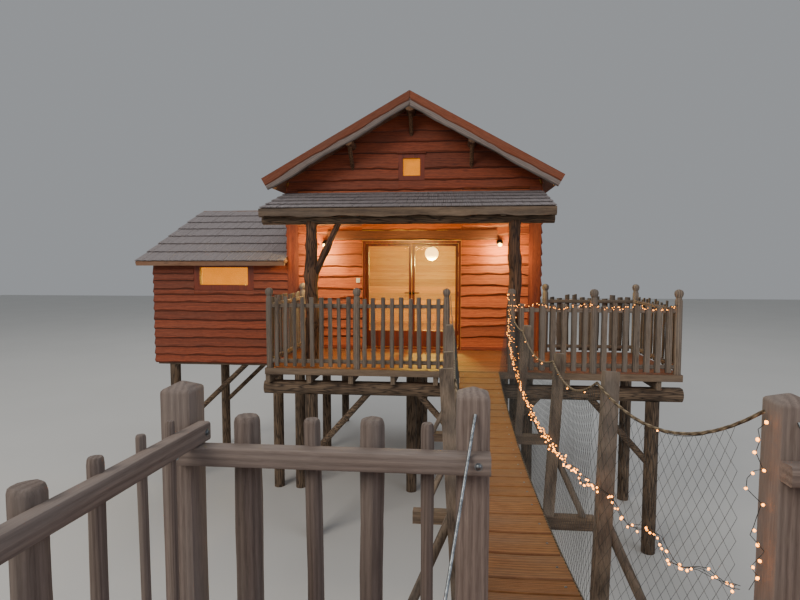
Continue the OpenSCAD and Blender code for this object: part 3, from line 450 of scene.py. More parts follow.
def woodFinish(name, light, dark, worn, wornShare, grainMm, rough, bumpMm, turn=None, boardStep=None, boardAxis=2,
               tintRange=(0.72, 1.16), knots=0.5):
    # sawn or split timber: long grain, rings that run out, a few knots, boards of different shade
    material, tree, shader = startMaterial(name)
    raw = grainPlace(tree, turn)
    if turn is None:
        tint = attribute(tree, "tint", "Fac")
    elif boardStep:
        split = addNode(tree, "ShaderNodeSeparateXYZ", {0: objectPlace(tree)})
        cell = calc(tree, "DIVIDE", split.outputs[boardAxis], boardStep)
        dice = addNode(tree, "ShaderNodeTexWhiteNoise", {"W": calc(tree, "FLOOR", cell)}, noise_dimensions="1D")
        tint = dice.outputs["Value"]
        raw = pick(tree, "ShaderNodeVectorMath", {0: dice.outputs["Color"], 1: (40, 40, 40), 2: raw},
                   operation="MULTIPLY_ADD")
    else:
        tint = speckle(tree, objectPlace(tree), 0.9, 1.0)
    fine = 1000.0 / grainMm
    grain = speckle(tree, stretch(tree, raw, fine * 0.06, fine, fine), 1.0, 7.0, 0.62, 0.6)
    rings = pick(tree, "ShaderNodeTexWave", {"Vector": stretch(tree, raw, 0.55, 9.0, 9.0), "Scale": 1.3,
                                             "Distortion": 5.0, "Detail": 3.0, "Detail Scale": 1.2},
                 "Fac", wave_type="BANDS", bands_direction="Y")
    knot = pick(tree, "ShaderNodeTexVoronoi", {"Vector": stretch(tree, raw, 2.2, 5.5, 5.5), "Scale": 1.0}, "Distance")
    knotMask = remap(tree, knot, 0.06, 0.17, knots, 0.0)
    figure = calc(tree, "MULTIPLY_ADD", rings, 0.32, grain)
    base = blend(tree, remap(tree, figure, 0.38, 0.98), toLinear(dark), toLinear(light))
    knotted = blend(tree, knotMask, base, toLinear(dark))
    wear = speckle(tree, stretch(tree, raw, 1.1, 6.0, 6.0), 1.0, 4.0)
    aged = blend(tree, remap(tree, wear, 0.42, 0.72, 0.0, wornShare), knotted, toLinear(worn))
    # a tint below zero, on the waney boards' lower edges, darkens the colour past the range: painted shade
    value = remap(tree, tint, 0.0, 1.0, *tintRange, clamp=False)
    shade = pick(tree, "ShaderNodeHueSaturation", {"Value": value, "Color": aged})
    if boardStep:
        joint = remap(tree, calc(tree, "FRACT", cell), 0.0, 0.006 / boardStep, 0.25, 1.0)
        shade = blend(tree, joint, toLinear(dark, 0.2), shade)
    coat(tree, shader, shade, remap(tree, grain, 0.3, 0.7, rough + 0.12, rough - 0.1), 0.8, bumpMm / 1000,
         calc(tree, "MULTIPLY_ADD", knotMask, 0.5, figure))
    shader.inputs["IOR"].default_value = 1.5
    return material


def barkFinish(name, light, dark, turn, fissureMm=26):
    # peeled and weathered round logs: drying cracks along the trunk, patches of inner bark left on
    material, tree, shader = startMaterial(name)
    raw = grainPlace(tree, turn)
    fine = 1000.0 / fissureMm
    long = stretch(tree, raw, fine * 0.07, fine, fine)
    crack = pick(tree, "ShaderNodeTexVoronoi", {"Vector": long, "Scale": 1.0}, "Distance", feature="DISTANCE_TO_EDGE")
    crackMask = remap(tree, crack, 0.0, 0.16)
    grain = speckle(tree, long, 2.4, 6.0, 0.6)
    tone = calc(tree, "MULTIPLY_ADD", grain, 0.6, speckle(tree, raw, 2.2, 3.0))
    base = blend(tree, remap(tree, tone, 0.55, 1.05), toLinear(dark), toLinear(light))
    coat(tree, shader, blend(tree, crackMask, toLinear(dark, 0.35), base), remap(tree, grain, 0.0, 1.0, 0.95, 0.7),
         0.8, 0.004, calc(tree, "MULTIPLY_ADD", grain, 0.35, crackMask))
    return material


def speckFinish(name, colour, dark, rough, metallic, scaleMm, bumpMm, alpha=1.0, glow=None, glowStrength=0.0,
                ior=1.5):
    # metal, glass, enamel and cord: a close speckle in colour, gloss and relief
    material, tree, shader = startMaterial(name)
    speck = speckle(tree, objectPlace(tree), 1000.0 / scaleMm, 4.0, 0.6)
    coat(tree, shader, blend(tree, remap(tree, speck, 0.35, 0.65), toLinear(dark), toLinear(colour)),
         remap(tree, speck, 0.3, 0.7, rough * 1.35, rough * 0.7), 0.5, bumpMm / 1000, speck)
    values = {"Metallic": metallic, "Alpha": alpha, "IOR": ior}
    if glow:
        values.update({"Emission Color": toLinear(glow), "Emission Strength": glowStrength})
    for key, value in values.items():
        shader.inputs[key].default_value = value
    return material


def ropeFinish(name, light, dark, layMm):
    # three-strand laid rope, dirty from hands and rain; darker towards the grooves between the strands
    material, tree, shader = startMaterial(name)
    turns = calc(tree, "MULTIPLY", attribute(tree, "runLength", "Fac"), 1000.0 / layMm)
    phase = calc(tree, "MULTIPLY_ADD", attribute(tree, "around", "Fac"), 3.0, turns)
    wave = calc(tree, "PINGPONG", phase, 1.0)
    dirt = speckle(tree, objectPlace(tree), 90.0, 5.0)
    tone = remap(tree, calc(tree, "MULTIPLY", wave, dirt), 0.05, 0.5)
    coat(tree, shader, blend(tree, tone, toLinear(dark), toLinear(light)), remap(tree, dirt, 0.0, 1.0, 0.98, 0.75),
         0.9, 0.003, wave)
    return material


# colours are light, dark and worn wood; then the worn share, grain in mm, roughness and relief in mm
# red-brown oil stain on rough larch boards: the grain shows through, the edges dry out paler
stainedBoards = woodFinish("stainedLarchBoards", "#c8652a", "#70290e", "#93502a", 0.35, 7, 0.62, 1.8)
# lintel: red-brown stain darkened by painted shade of the shadow above the wall lamps
stainAndShadeLintel = woodFinish("stainAndPaintedShadeLintel", "#7a3a1c", "#3c180b", "#5d3320", 0.35, 8, 0.68, 1.8)
gableBoards = woodFinish("stainedGableBoards", "#a3491f", "#511b0a", "#74402a", 0.4, 7, 0.66, 1.8)
cornerWood = woodFinish("cornerBoardStain", "#a84b1d", "#571d0b", "#85492a", 0.4, 8, 0.65, 1.8, (0, 90, 0))
# cleft shakes gone silver in the rain
shakeWood = woodFinish("silveredShakes", "#d3cac9", "#7d7175", "#a89c9a", 0.5, 5, 0.85, 2.0, tintRange=(0.55, 1.3))
# grey-brown weathered softwood of rails, pickets and posts
weatheredWood = woodFinish("weatheredSoftwood", "#94826f", "#4c4038", "#827a72", 0.55, 6, 0.8, 1.8)
nearFenceWood = woodFinish("greyedFenceTimber", "#8c7c72", "#655750", "#847b76", 0.6, 6, 0.8, 1.2,
                           tintRange=(0.82, 1.12))
postWood = woodFinish("postTimber", "#93806c", "#4d4136", "#807870", 0.55, 7, 0.8, 1.8, (0, 90, 0))
# roof edges: pale larch below, a stained board over a greyed one in front
bargeWood = woodFinish("bargeLarch", "#a0765a", "#5b3b29", "#8d7a6b", 0.5, 7, 0.75, 1.6)
upperBargeWood = woodFinish("stainedBargeLarch", "#9a5230", "#5c2b18", "#7d5340", 0.5, 7, 0.72, 1.6)
lowerBargeWood = woodFinish("greyBargeLarch", "#94857d", "#5f514b", "#8a7f79", 0.5, 7, 0.8, 1.6)
# larch trodden bare on the bridge, oiled on the decks
bridgeWood = woodFinish("troddenBridgePlanks", "#c08346", "#7a451d", "#8d7259", 0.45, 6, 0.68, 2.0,
                        tintRange=(0.72, 1.12))
deckWood = woodFinish("oiledDeckBoards", "#b0662f", "#5c2f15", "#7d6350", 0.45, 7, 0.6, 1.4, (0, 0, 0), 0.151, 1)
# clean planed spruce lining inside, warm under the lamp
lining = ("#e4ae4f", "#bd7f2c", "#cf973f", 0.3, 9, 0.5, 0.6)
liningBoards = woodFinish("spruceLining", *lining, (0, 0, 0), 0.19, 2, knots=0.8)
liningBoardsSide = woodFinish("spruceLiningSide", *lining, (0, 0, 90), 0.19, 2, knots=0.8)
floorBoardWood = woodFinish("floorBoards", "#c18a55", "#7c4c27", "#9b7a58", 0.3, 8, 0.45, 0.8, (0, 0, 90), 0.14, 0)
# rough structural timber out of the light
joistWood = woodFinish("joistTimber", "#8f7a63", "#4f4033", "#6f6458", 0.5, 8, 0.8, 1.5, (0, 0, 90))
beamWood = woodFinish("beamTimber", "#8a735c", "#4a3b2f", "#6b6056", 0.5, 8, 0.8, 1.5, (0, 0, 0))
# red-brown enamel-like stain of the double door
doorWood = woodFinish("doorStain", "#8a3617", "#481607", "#743a20", 0.25, 8, 0.42, 0.7, (0, 90, 0), knots=0.3)
# peeled logs with drying cracks, greyer outside than under the roof
uprightLogs = barkFinish("peeledStilts", "#86705a", "#4a3a2c", (0, 90, 0))
lyingLogs = barkFinish("peeledBeams", "#8a735c", "#4c3b2d", (0, 0, 0))
roofLogWood = barkFinish("roofLogs", "#8f6a4a", "#54341f", (0, 0, 90))
trunkWood = barkFinish("forkedTrunk", "#7d5a40", "#3d281a", None, 30)
# thin float glass, a little dusty
paneGlass = speckFinish("floatGlass", "#c9d6d2", "#aebbb6", 0.04, 0.0, 400, 0.02, alpha=0.07, ior=1.52)
# half-clear panes, painted warm orange and glowing: painted light standing in for the lamp-lit room behind them
paintedGlowGlass = speckFinish("paintedGlowPanes", "#c98a2e", "#a8671a", 0.12, 0.0, 160, 0.05, 0.5, "#ff9a14", 0.9, 1.52)
# glowing opal globes and small warm bulbs
globeGlass = speckFinish("opalGlobe", "#fff1cf", "#ffe3a8", 0.3, 0.0, 50, 0.1, 1.0, "#ffca70", 5.0)
bulbGlass = speckFinish("warmBulbs", "#ffe2a0", "#ffc46a", 0.2, 0.0, 5, 0.02, 1.0, "#ff9626", 9.0)
# black forged iron, dull zinc, dark wire, grey cord and a white plate
blackIron = speckFinish("blackenedIron", "#2b2826", "#141312", 0.5, 0.85, 8, 0.3)
zincSteel = speckFinish("galvanisedSteel", "#9aa0a4", "#6c7175", 0.42, 1.0, 12, 0.2)
wireGreen = speckFinish("garlandWire", "#1d211b", "#101310", 0.6, 0.0, 6, 0.2)
netCord = speckFinish("nettingCord", "#4a4c48", "#2c2e2b", 0.7, 0.0, 10, 0.1)
whitePlastic = speckFinish("whiteSwitch", "#e6e2d8", "#d2cdc2", 0.4, 0.0, 20, 0.05)
# dirty hemp
hempRope = ropeFinish("laidHempRope", "#a08e72", "#4b3d2c", 26)

for finish, names in (
        (liningBoards, "front_wall_left front_wall_right wall_over_door front_gable back_wall annex_front annex_back"),
        (liningBoardsSide, "left_wall right_wall annex_left_wall"),
        (floorBoardWood, "cabin_floor annex_floor"), (deckWood, "deck_boards landing_boards"),
        (uprightLogs, "stilts"), (lyingLogs, "stilt_braces log_beams"), (roofLogWood, "roof_logs gable_braces"),
        (joistWood, "floor_joists porch_rafters"), (cornerWood, "corner_boards"),
        (beamWood, "annex_beams deck_edge porch_fascia bridge_beams bridge_planks porch_posts barge_boards"),
        (beamWood, "roof_left roof_right porch_roof annex_roof"),
        (postWood, "bridge_uprights landing_posts landing_fences porch_railing side_railing"),
        (doorWood, "door_frame door_left door_right window_frames"), (paneGlass, "door_left_glass door_right_glass"),
        (paintedGlowGlass, "window_glass"), (globeGlass, "pendant_lamp wall_lights"), (zincSteel, "bridge_cables"),
        (netCord, "hand_ropes")):
    for name in names.split():
        for slot in nodes[name].material_slots:
            slot.material = finish
print("finishes made")

# lap boards on the walls
walls = {"exposure": 0.2, "lap": 0.035, "thick": 0.03, "standLow": 0.036, "standHigh": 0.006, "wane": 0.032,
         "edge": 0.004, "rises": (0.82, 1.16), "shortest": 0.05, "least": 0.03, "corner": 2.17, "door": 0.935,
         "overDoor": (2.26, 0.93), "top": 3.03, "foot": -0.035, "porchFoot": 0.01, "underEave": 0.01}
sideX, frontY, backY = 2.39, -0.075, 4.725
ridgeZ, pitch = deck + 4.6805, math.radians(29)
roofFall = math.tan(pitch)
eaveZ = deck + 3.185
toFront, toBack = ((1, 0, 0), (0, 0, 1), (0, -1, 0)), ((-1, 0, 0), (0, 0, 1), (0, 1, 0))
toLeft, toRight = ((0, 1, 0), (0, 0, 1), (-1, 0, 0)), ((0, 1, 0), (0, 0, 1), (1, 0, 0))
frontFace, rearFace = ((0, frontY, 0), *toFront), ((0, backY, 0), *toBack)
trimFace = ((0, frontY, deck), *toFront)


def boardWall(stock, face, z0, z1, intervals, seed, depth=walls["wane"], exposure=walls["exposure"], stops=()):
    # rows of waney boards from z0 up to z1, with a joint at each stop; intervals(zLow, zHigh) gives a row's
    # clear runs, each with its own top where a window stands over it
    rng = random.Random(seed)
    z = z0
    while z < z1 - walls["least"]:
        rise = exposure * rng.uniform(*walls["rises"])
        for stop in stops:
            if z < stop - 0.05 and z + rise > stop - 0.09:
                rise = stop - z if stop - z < 0.3 else (stop - z) / 2
        top = min(z + rise + walls["lap"], z1)
        for run in intervals(z, top):
            if max(run[1] - run[0], run[3] - run[2]) >= walls["shortest"]:
                addPlank(stock, face, (z, walls["standLow"]), ((*run[4:], top)[0], walls["standHigh"]), run[:4],
                         walls["thick"], (depth, walls["edge"]), rng)
        z += rise


def plainRun(a, b):
    return lambda zLow, zHigh: [(a, b, a, b)]


def aroundHole(runs, hole):
    # takes a window's opening out of the rows that meet it
    a, b, c, d = hole

    def cut(zLow, zHigh):
        out = []
        for run in runs(zLow, zHigh):
            if zHigh > c + 0.002 and zLow < d - 0.02:
                out.append((run[0], min(run[1], a), run[2], min(run[3], a)))
                out.append((max(run[0], b), run[1], max(run[2], b), run[3]))
                if zLow < c - 0.02:
                    out.append((a, b, a, b, c))
            else:
                out.append(run)
        return out
    return cut


gable = {"under": 0.172, "end": 0.19, "tip": 0.03, "low": 3.0, "rearLow": 3.1, "exposure": 0.235, "wane": 0.02,
         "hole": (-0.245, 0.245, deck + 3.185, deck + 3.675)}


def gableRun(zLow, zHigh):
    low, high = ((ridgeZ - gable["under"] - z) / roofFall for z in (zLow, zHigh))
    low, high = min(low, sideX), min(max(gable["tip"], high), sideX)
    return [(-low, low, -high, high)]


# single boards: low and high edge (height, standing out), thickness, depths of the edges, seed
trims = {"corner": ((2.9, 0.032), (3.045, 0.028), 0.03, (0.0, 0.002), 32),
         "closing": ((-0.192, -0.001), (-0.079, -0.001), 0.034, (0.0, 0.0), 2),
         "lintel": ((2.075, 0.055), (2.25, 0.052), 0.05, (0.012, 0.008), 3),
         "drip": ((3.672, 0.06), (3.7, 0.05), 0.06, (0.0, 0.002), 4),
         "foot": ((0.002, 0.055), (0.07, 0.05), 0.055, (0.0, 0.003), 6)}


def addTrim(stock, kind, spans, face=trimFace, step=0.12):
    low, high, thick, edges, seed = trims[kind]
    for ends in spans:
        addPlank(stock, face, low, high, ends, thick, edges, random.Random(seed), step)


gableCorner = ridgeZ - gable["under"] - sideX * roofFall
gableStops = (gableCorner, *gable["hole"][2:])
frontBoards = newStock()
overDoor, doorHalf = walls["overDoor"]
for low, a, b, seed in ((walls["porchFoot"], -walls["corner"], -walls["door"], 11),
                        (walls["porchFoot"], walls["door"], walls["corner"], 23), (overDoor, -doorHalf, doorHalf, 29)):
    boardWall(frontBoards, frontFace, deck + low, deck + walls["top"], plainRun(a, b), seed)
makePiece("frontWallBoards", frontBoards, stainedBoards)

frontGable = newStock()
boardWall(frontGable, frontFace, deck + gable["low"], ridgeZ - gable["end"], aroundHole(gableRun, gable["hole"]), 31,
          gable["wane"], gable["exposure"], gableStops)
addTrim(frontGable, "corner", ((-2.388, -2.175), (2.175, 2.388)))
makePiece("frontGableBoards", frontGable, gableBoards)

rearBoards = newStock()
boardWall(rearBoards, rearFace, deck + walls["foot"], deck + gable["rearLow"],
          plainRun(-walls["corner"], walls["corner"]), 41)
boardWall(rearBoards, rearFace, deck + gable["rearLow"], ridgeZ - gable["end"],
          aroundHole(gableRun, gable["hole"]), 43, gable["wane"], stops=gableStops)
makePiece("rearWallBoards", rearBoards, stainedBoards)

annex = {"left": -5.1, "depth": 2.525, "roofLow": -0.325, "eave": 1.7, "pitch": math.radians(22), "thick": 0.12,
         "foot": deck - 0.33, "behind": 2.53, "frontEnd": -2.392, "rearEnd": 2.4,
         "hole": (-4.275, -3.065, deck + 1.115, deck + 1.655)}
annexFall = math.tan(annex["pitch"])


def annexTop(y):
    return deck + annex["eave"] + (y - annex["roofLow"]) * annexFall


def annexUnder(y):
    return annexTop(y) - annex["thick"] / math.cos(annex["pitch"])


def leftRun(zLow, zHigh):
    # clear of the annex: over its roof in front, behind its back wall below
    behind = annex["behind"]
    runs = [(behind, backY, behind, backY)]
    low, high = (min(behind, (z - deck - annex["eave"]) / annexFall + annex["roofLow"]) for z in (zLow, zHigh))
    if high > frontY + walls["shortest"]:
        runs.append((frontY, max(low, frontY + 0.004), frontY, high))
    return runs


def annexSideRun(zLow, zHigh):
    # under the annex roof's slope
    low, high = ((z - annexUnder(0)) / annexFall for z in (zLow, zHigh))
    return [(max(frontY, low), annex["depth"], max(frontY, low, high), annex["depth"])]


for name, x, to, runs, seed in (("leftWallBoards", -sideX, toLeft, leftRun, 47),
                                ("rightWallBoards", sideX, toRight, plainRun(frontY, backY), 53)):
    stock = newStock()
    boardWall(stock, ((x, 0, 0), *to), deck + walls["foot"], eaveZ - walls["underEave"], runs, seed)
    makePiece(name, stock, stainedBoards)

annexBoards = newStock()
for face, top, runs, seed, depth, exposure, stops in (
        (frontFace, annexUnder(frontY) - 0.01,
         aroundHole(plainRun(annex["left"], annex["frontEnd"]), annex["hole"]), 59, 0.016, 0.16, annex["hole"][2:]),
        (((0, annex["depth"], 0), *toBack), annexUnder(annex["depth"]) - 0.01,
         plainRun(annex["rearEnd"], -annex["left"]), 61, 0.014, 0.18, ()),
        (((annex["left"], 0, 0), *toLeft), annexUnder(annex["depth"]) - 0.03, annexSideRun, 67, 0.014, 0.18, ())):
    boardWall(annexBoards, face, annex["foot"], top, runs, seed, depth, exposure, stops)
makePiece("annexBoards", annexBoards, gableBoards)
print("walls boarded")

# shake roofs
roofs = {"shakeLength": 0.46, "exposure": 0.3, "thick": 0.012, "meanWidth": 0.135, "tilt": 0.021, "over": 0.019,
         "joint": 0.005, "shortTilt": 1.6, "starts": (0.0, 0.06), "widths": (0.6, 1.5), "thicks": (0.9, 1.3),
         "stray": (-0.008, 0.008), "narrow": 0.02, "variants": 5}


def shakeShape(name, seed):
    # one cleft shake: uneven butt, grooves along it, thinner at the head; one metre wide before sizing
    rng = random.Random(seed)
    stock = newStock()
    columns, rows = 5, 3
    length = roofs["shakeLength"]
    butt = [rng.uniform(-0.012, 0.012) for _ in range(columns)]
    ridge = [rng.uniform(-0.0022, 0.0022) for _ in range(columns)]
    shift = randomShift(rng, 2)
    top, bottom = [], []
    for r in range(rows):
        y = length * r / (rows - 1)
        for c in range(columns):
            x = c / (columns - 1) - 0.5
            yTop = y if r else butt[c]
            thick = roofs["thick"] * (1 - 0.65 * y / length) + ridge[c] * (1 - 0.5 * y)
            top.append(addPoint(stock, (x, yTop, thick), Vector((yTop, x * 0.14, 0)) + shift, 0))
    for r in (0, rows - 1):
        for c in range(columns):
            x = c / (columns - 1) - 0.5
            y = length if r else butt[c] + 0.002
            bottom.append(addPoint(stock, (x, y, 0), Vector((y, x * 0.14, 0.02)) + shift, 0))
    f = stock["faces"]
    for a in range((rows - 1) * columns):
        if (a + 1) % columns:
            f.append((top[a], top[a + 1], top[a + columns + 1], top[a + columns]))
    last = (rows - 1) * columns
    for c in range(columns - 1):
        f.append((bottom[c], bottom[c + 1], top[c + 1], top[c]))
        f.append((top[last + c], top[last + c + 1], bottom[columns + c + 1], bottom[columns + c]))
        f.append((bottom[c + 1], bottom[c], bottom[columns + c], bottom[columns + c + 1]))
    f.append((bottom[0], *top[::columns], bottom[columns]))
    f.append((bottom[2 * columns - 1], *top[::-columns], bottom[columns - 1]))
    return makeMesh(name, stock)


def shakeField(name, low, across, up, width, length, seed, exposure, longer):
    # courses of shakes from the eave corner "low" up the slope
    rng = random.Random(seed)
    out = across.cross(up)
    courses = max(1, round(length / exposure))
    step = length / courses
    tilt = math.atan(roofs["tilt"] / roofs["shakeLength"] / longer)
    turned, shortTurn = [(Matrix((across, up, out)).transposed() @ Matrix.Rotation(-tilt * k, 3, "X")).to_euler()
                         for k in (1, roofs["shortTilt"])]
    points = []
    for i in range(courses):
        x = -rng.uniform(*roofs["starts"])
        while x < width - roofs["narrow"]:
            wide = roofs["meanWidth"] * rng.uniform(*roofs["widths"])
            a, b = max(x, 0.0), min(x + wide, width)
            if width - b < 0.05:
                b = width
            x = b + roofs["joint"]
            if b - a < roofs["narrow"]:
                continue
            reach = min(longer, (length - i * step) / roofs["shakeLength"])
            rise = i * step + rng.uniform(*roofs["stray"]) * (i > 0)
            points.append((low + across * ((a + b) / 2) + up * rise + out * roofs["over"],
                           turned if reach == longer else shortTurn, (b - a, reach, rng.uniform(*roofs["thicks"]))))
    shapes = [shakeShape(name + "Shake" + str(k), seed + k) for k in range(roofs["variants"])]
    return scatter(name, points, shapes, shakeWood, seed)


def coverRoof(part, low, across, up, node):
    # close boards with a joint between each two, in place of the slope's solid, and shakes over them
    across, up = Vector(across).normalized(), Vector(up).normalized()
    out = across.cross(up)
    low = Vector(low) - out * part["lift"]
    stock, rng = newStock(), random.Random(part["boardSeed"])
    wide = part["boardRun"] / part["boards"]
    for i in range(part["boards"]):
        addPlank(stock, (low + up * (i * wide), across, up, out), (0.0015, 0.0), (wide - 0.0015, 0.0),
                 (0, part["wide"]), part["thick"], (0.0, 0.0), rng, 0.5)
    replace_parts(makePiece(part["boardsName"], stock, bargeWood), node)
    shakeField(part["shakesName"], low, across, up, part["wide"], part["shakeRun"], part["shakeSeed"],
               part.get("exposure", roofs["exposure"]), part.get("longer", 1.0))


roofCos, roofSin = math.cos(pitch), math.sin(pitch)
roofEdge, verges = 2.71, (-0.575, 5.225)
slopeLength = roofEdge / roofCos
for side, name, seed in ((1, "Right", 81), (-1, "Left", 97)):
    slope = {"boardsName": "roofBoards" + name, "shakesName": "roofShakes" + name, "lift": 0.045,
             "wide": verges[1] - verges[0], "boardRun": slopeLength - 0.02, "thick": 0.103, "boards": 19,
             "boardSeed": 70, "shakeRun": slopeLength - 0.03, "shakeSeed": seed}
    coverRoof(slope, (side * roofEdge, verges[0 if side > 0 else 1], ridgeZ - roofEdge * roofFall), (0, side, 0),
              (-side * roofCos, 0, roofSin), "roof_" + name.lower())

# ridge: overlapping cap boards on both slopes
ridge = {"wide": 0.13, "least": 0.5, "most": 0.7, "under": 0.012, "thick": 0.014}
ridgeCaps = newStock()
rng = random.Random(5)
for side in (1, -1):
    upDir, acrossDir = Vector((-side * roofCos, 0, roofSin)), Vector((0, side, 0))
    y = verges[0]
    while y < verges[1] - 0.1:
        wide = min(rng.uniform(ridge["least"], ridge["most"]), verges[1] - y)
        start = Vector((0, y if side > 0 else y + wide, ridgeZ - ridge["under"])) - upDir * ridge["wide"]
        addPlank(ridgeCaps, (start, acrossDir, upDir, acrossDir.cross(upDir)), (0, 0.006), (ridge["wide"], 0.0),
                 (0.002, wide - 0.002), ridge["thick"], (0.006, 0), rng, 0.15)
        y += wide
makePiece("ridgeCapBoards", ridgeCaps, shakeWood)

porchRise = math.atan(0.45 / 1.58)
porchCover = {"boardsName": "porchRoofBoards", "shakesName": "porchShakes", "lift": 0.034, "wide": 4.78,
              "boardRun": 1.643, "thick": 0.015, "boards": 11, "boardSeed": 71, "shakeRun": 1.62, "shakeSeed": 103,
              "exposure": 0.33}
coverRoof(porchCover, (-2.39, -1.655, deck + 2.56), (1, 0, 0), (0, math.cos(porchRise), math.sin(porchRise)),
          "porch_roof")
annexLength = 3.1 / math.cos(annex["pitch"])
annexCover = {"boardsName": "annexRoofBoards", "shakesName": "annexShakes", "lift": 0.036, "wide": 2.955,
              "boardRun": annexLength, "thick": 0.083, "boards": 19, "boardSeed": 73, "shakeRun": annexLength - 0.02,
              "shakeSeed": 107, "exposure": 0.47, "longer": 1.4}
coverRoof(annexCover, (-5.35, annex["roofLow"], annexTop(annex["roofLow"])), (1, 0, 0),
          (0, math.cos(annex["pitch"]), math.sin(annex["pitch"])), "annex_roof")
print("roofs laid")

# barge boards: a stained one over a greyed one
barge = {"upper": 0.155, "lower": 0.25, "front": 0.029, "rear": 0.016, "wane": 0.02, "joint": 0.002}
upperBarge, lowerBarge = newStock(), newStock()
rng = random.Random(17)
for y, out in ((verges[0], (0, -1, 0)), (verges[1], (0, 1, 0))):
    for side in (1, -1):
        face = ((0, y, ridgeZ), (side * roofCos, 0, -roofSin), (side * roofSin, 0, roofCos), out)
        for stock, low, high, stand in (
                (upperBarge, -barge["upper"], 0.0, barge["front"]),
                (lowerBarge, -barge["lower"] * roofCos - 0.02, -barge["upper"] + 0.04, barge["rear"])):
            addPlank(stock, face, (low, stand), (high, stand),
                     (-low * roofFall + barge["joint"], slopeLength, -high * roofFall + barge["joint"], slopeLength),
                     stand + barge["joint"], (barge["wane"], 0.0), rng)
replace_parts(makePiece("upperBargeBoards", upperBarge, upperBargeWood), "barge_boards")
makePiece("lowerBargeBoards", lowerBarge, lowerBargeWood)

# last deck board along the wall, ripped to the width that was left
closing = newStock()
addTrim(closing, "closing", ((-2.148, 4.148),), ((0, 0, deck), (1, 0, 0), (0, 1, 0), (0, 0, 1)), 0.6)
makePiece("closingDeckBoard", closing, deckWood)
# lintel plank over the door, darker than the wall boards: a red-brown stain with painted shade of the shadow above the
# wall lamps
lintel = newStock()
addTrim(lintel, "lintel", ((-1.6, 1.6),))
makePiece("lintelPlank", lintel, stainAndShadeLintel)
# drip board over the gable window, foot boards where the porch deck meets the wall
trim = newStock()
addTrim(trim, "drip", ((-0.27, 0.27),))
addTrim(trim, "foot", ((-2.165, -0.94), (0.94, 2.165)))
makePiece("trimPlanks", trim, gableBoards)
print("trim made")

# porch trunk with its fork, and the log post. Each log is its foot and head (x, height), steps, sway, seed,
# the radii at its ends and how far along it its knots are
trunks = {"y": -1.445, "rough": 0.16, "sides": 18, "knot": 0.09,
          "logs": (((-1.57, 0.0), (-1.57, 2.33), 34, 0.035, 4.0, (0.115, 0.09), (0.62, 1.42, 1.95)),
                   ((-1.56, 1.36), (-1.08, 2.372), 18, 0.03, 9.0, (0.058, 0.046), (0.55,)),
                   ((1.77, 0.0), (1.77, 2.33), 34, 0.02, 14.0, (0.104, 0.096), (0.9, 1.7)))}
trunkStock = newStock()
rng = random.Random(21)
for foot, head, n, sway, bend, radii, knots in trunks["logs"]:
    foot, head = (Vector((x, trunks["y"], deck + h)) for x, h in (foot, head))
    path = []
    for i in range(n + 1):
        t = i / n
        k = sway * math.sin(math.pi * t)
        path.append(foot.lerp(head, t) + Vector((k * noise.noise((t * 2.5, bend, 0)),
                                                 k * noise.noise((t * 2.5, bend, 7)), 0)))
    seed, run, sections = rng.uniform(0, 50), 0.0, []
    for i, place in enumerate(path):
        if i:
            run += (place - path[i - 1]).length
        swell = sum(0.35 * math.exp(-((run - k) / trunks["knot"]) ** 2) for k in knots)
        radius = radii[0] + (radii[1] - radii[0]) * i / n
        sections.append([(x * (1 + 0.5 * swell), y * (1 + 0.35 * swell))
                         for x, y in roundSection(radius, trunks["sides"], seed, trunks["rough"], run)])
    addStick(trunkStock, path, sections, rng)
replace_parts(makePiece("porchTrunks", trunkStock, trunkWood, smooth=True), "porch_posts")

# porch and side railings
rail = {"y": -2.11, "left": -2.085, "right": 4.085, "gateLeft": 0.69, "gateRight": 1.67, "back": -0.15, "wall": 2.48,
        "heights": (0.11, 0.98), "sideHeights": (0.11, 0.94), "post": 0.055, "end": 0.04, "wide": 0.06,
        "thick": 0.045, "foot": 0.03, "pitch": 0.15}
pickets = {"height": 1.1, "radius": 0.035, "flat": 0.6, "margin": 0.055, "out": 0.048, "sideCount": 12,
           "askew": (-0.3, 0.3), "widths": (0.88, 1.05), "heights": (0.965, 0.995)}
slats = {"half": 0.055, "thick": 0.022, "stand": 0.011, "wane": 0.012, "margin": 0.06, "out": 0.036,
         "sideCount": 14, "backCount": 11, "widths": (0.62, 0.88), "heights": (0.97, 1.03)}
# rough shaft, neck and hand-cut ball of a post: share of its radius, and height
ballProfile = ((1.0, 0.0), (0.98, 0.3), (1.0, 0.7), (0.97, 1.0), (0.96, 1.09), (0.78, 1.118), (0.74, 1.135),
               (0.92, 1.15), (1.1, 1.175), (1.16, 1.2), (1.08, 1.225), (0.82, 1.245), (0.45, 1.256), (0.12, 1.26))


def ballPost(stock, x, y, rng):
    seed = rng.uniform(0, 60)
    path = [(x + 0.006 * noise.noise((h, seed, 0)), y, deck + h) for r, h in ballProfile]
    addStick(stock, path, [roundSection(rail["post"] * r, 14, seed, 0.09, h * 0.6) for r, h in ballProfile], rng)


def sawnBar(stock, a, b, width, height, rng, side=(0, 0, 1), steps=None, wobble=0.004, soft=0.006):
    a, b = Vector(a), Vector(b)
    n = steps or max(2, int((b - a).length / 0.25))
    seed = rng.uniform(0, 60)
    addStick(stock, [a.lerp(b, i / n) for i in range(n + 1)],
             [squareSection(width, height, soft, wobble, seed, i * 0.5) for i in range(n + 1)], rng, side)


def makeRailing(name, rng, posts, heights, runs, node):
    # ball posts at (x, y), and a rail at each height along every run
    stock = newStock()
    for x, y in posts:
        ballPost(stock, x, y, rng)
    for h in heights:
        for a, b in runs:
            sawnBar(stock, (*a, deck + h), (*b, deck + h), rail["wide"], rail["thick"], rng)
    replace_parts(makePiece(name, stock, weatheredWood, smooth=True), node)


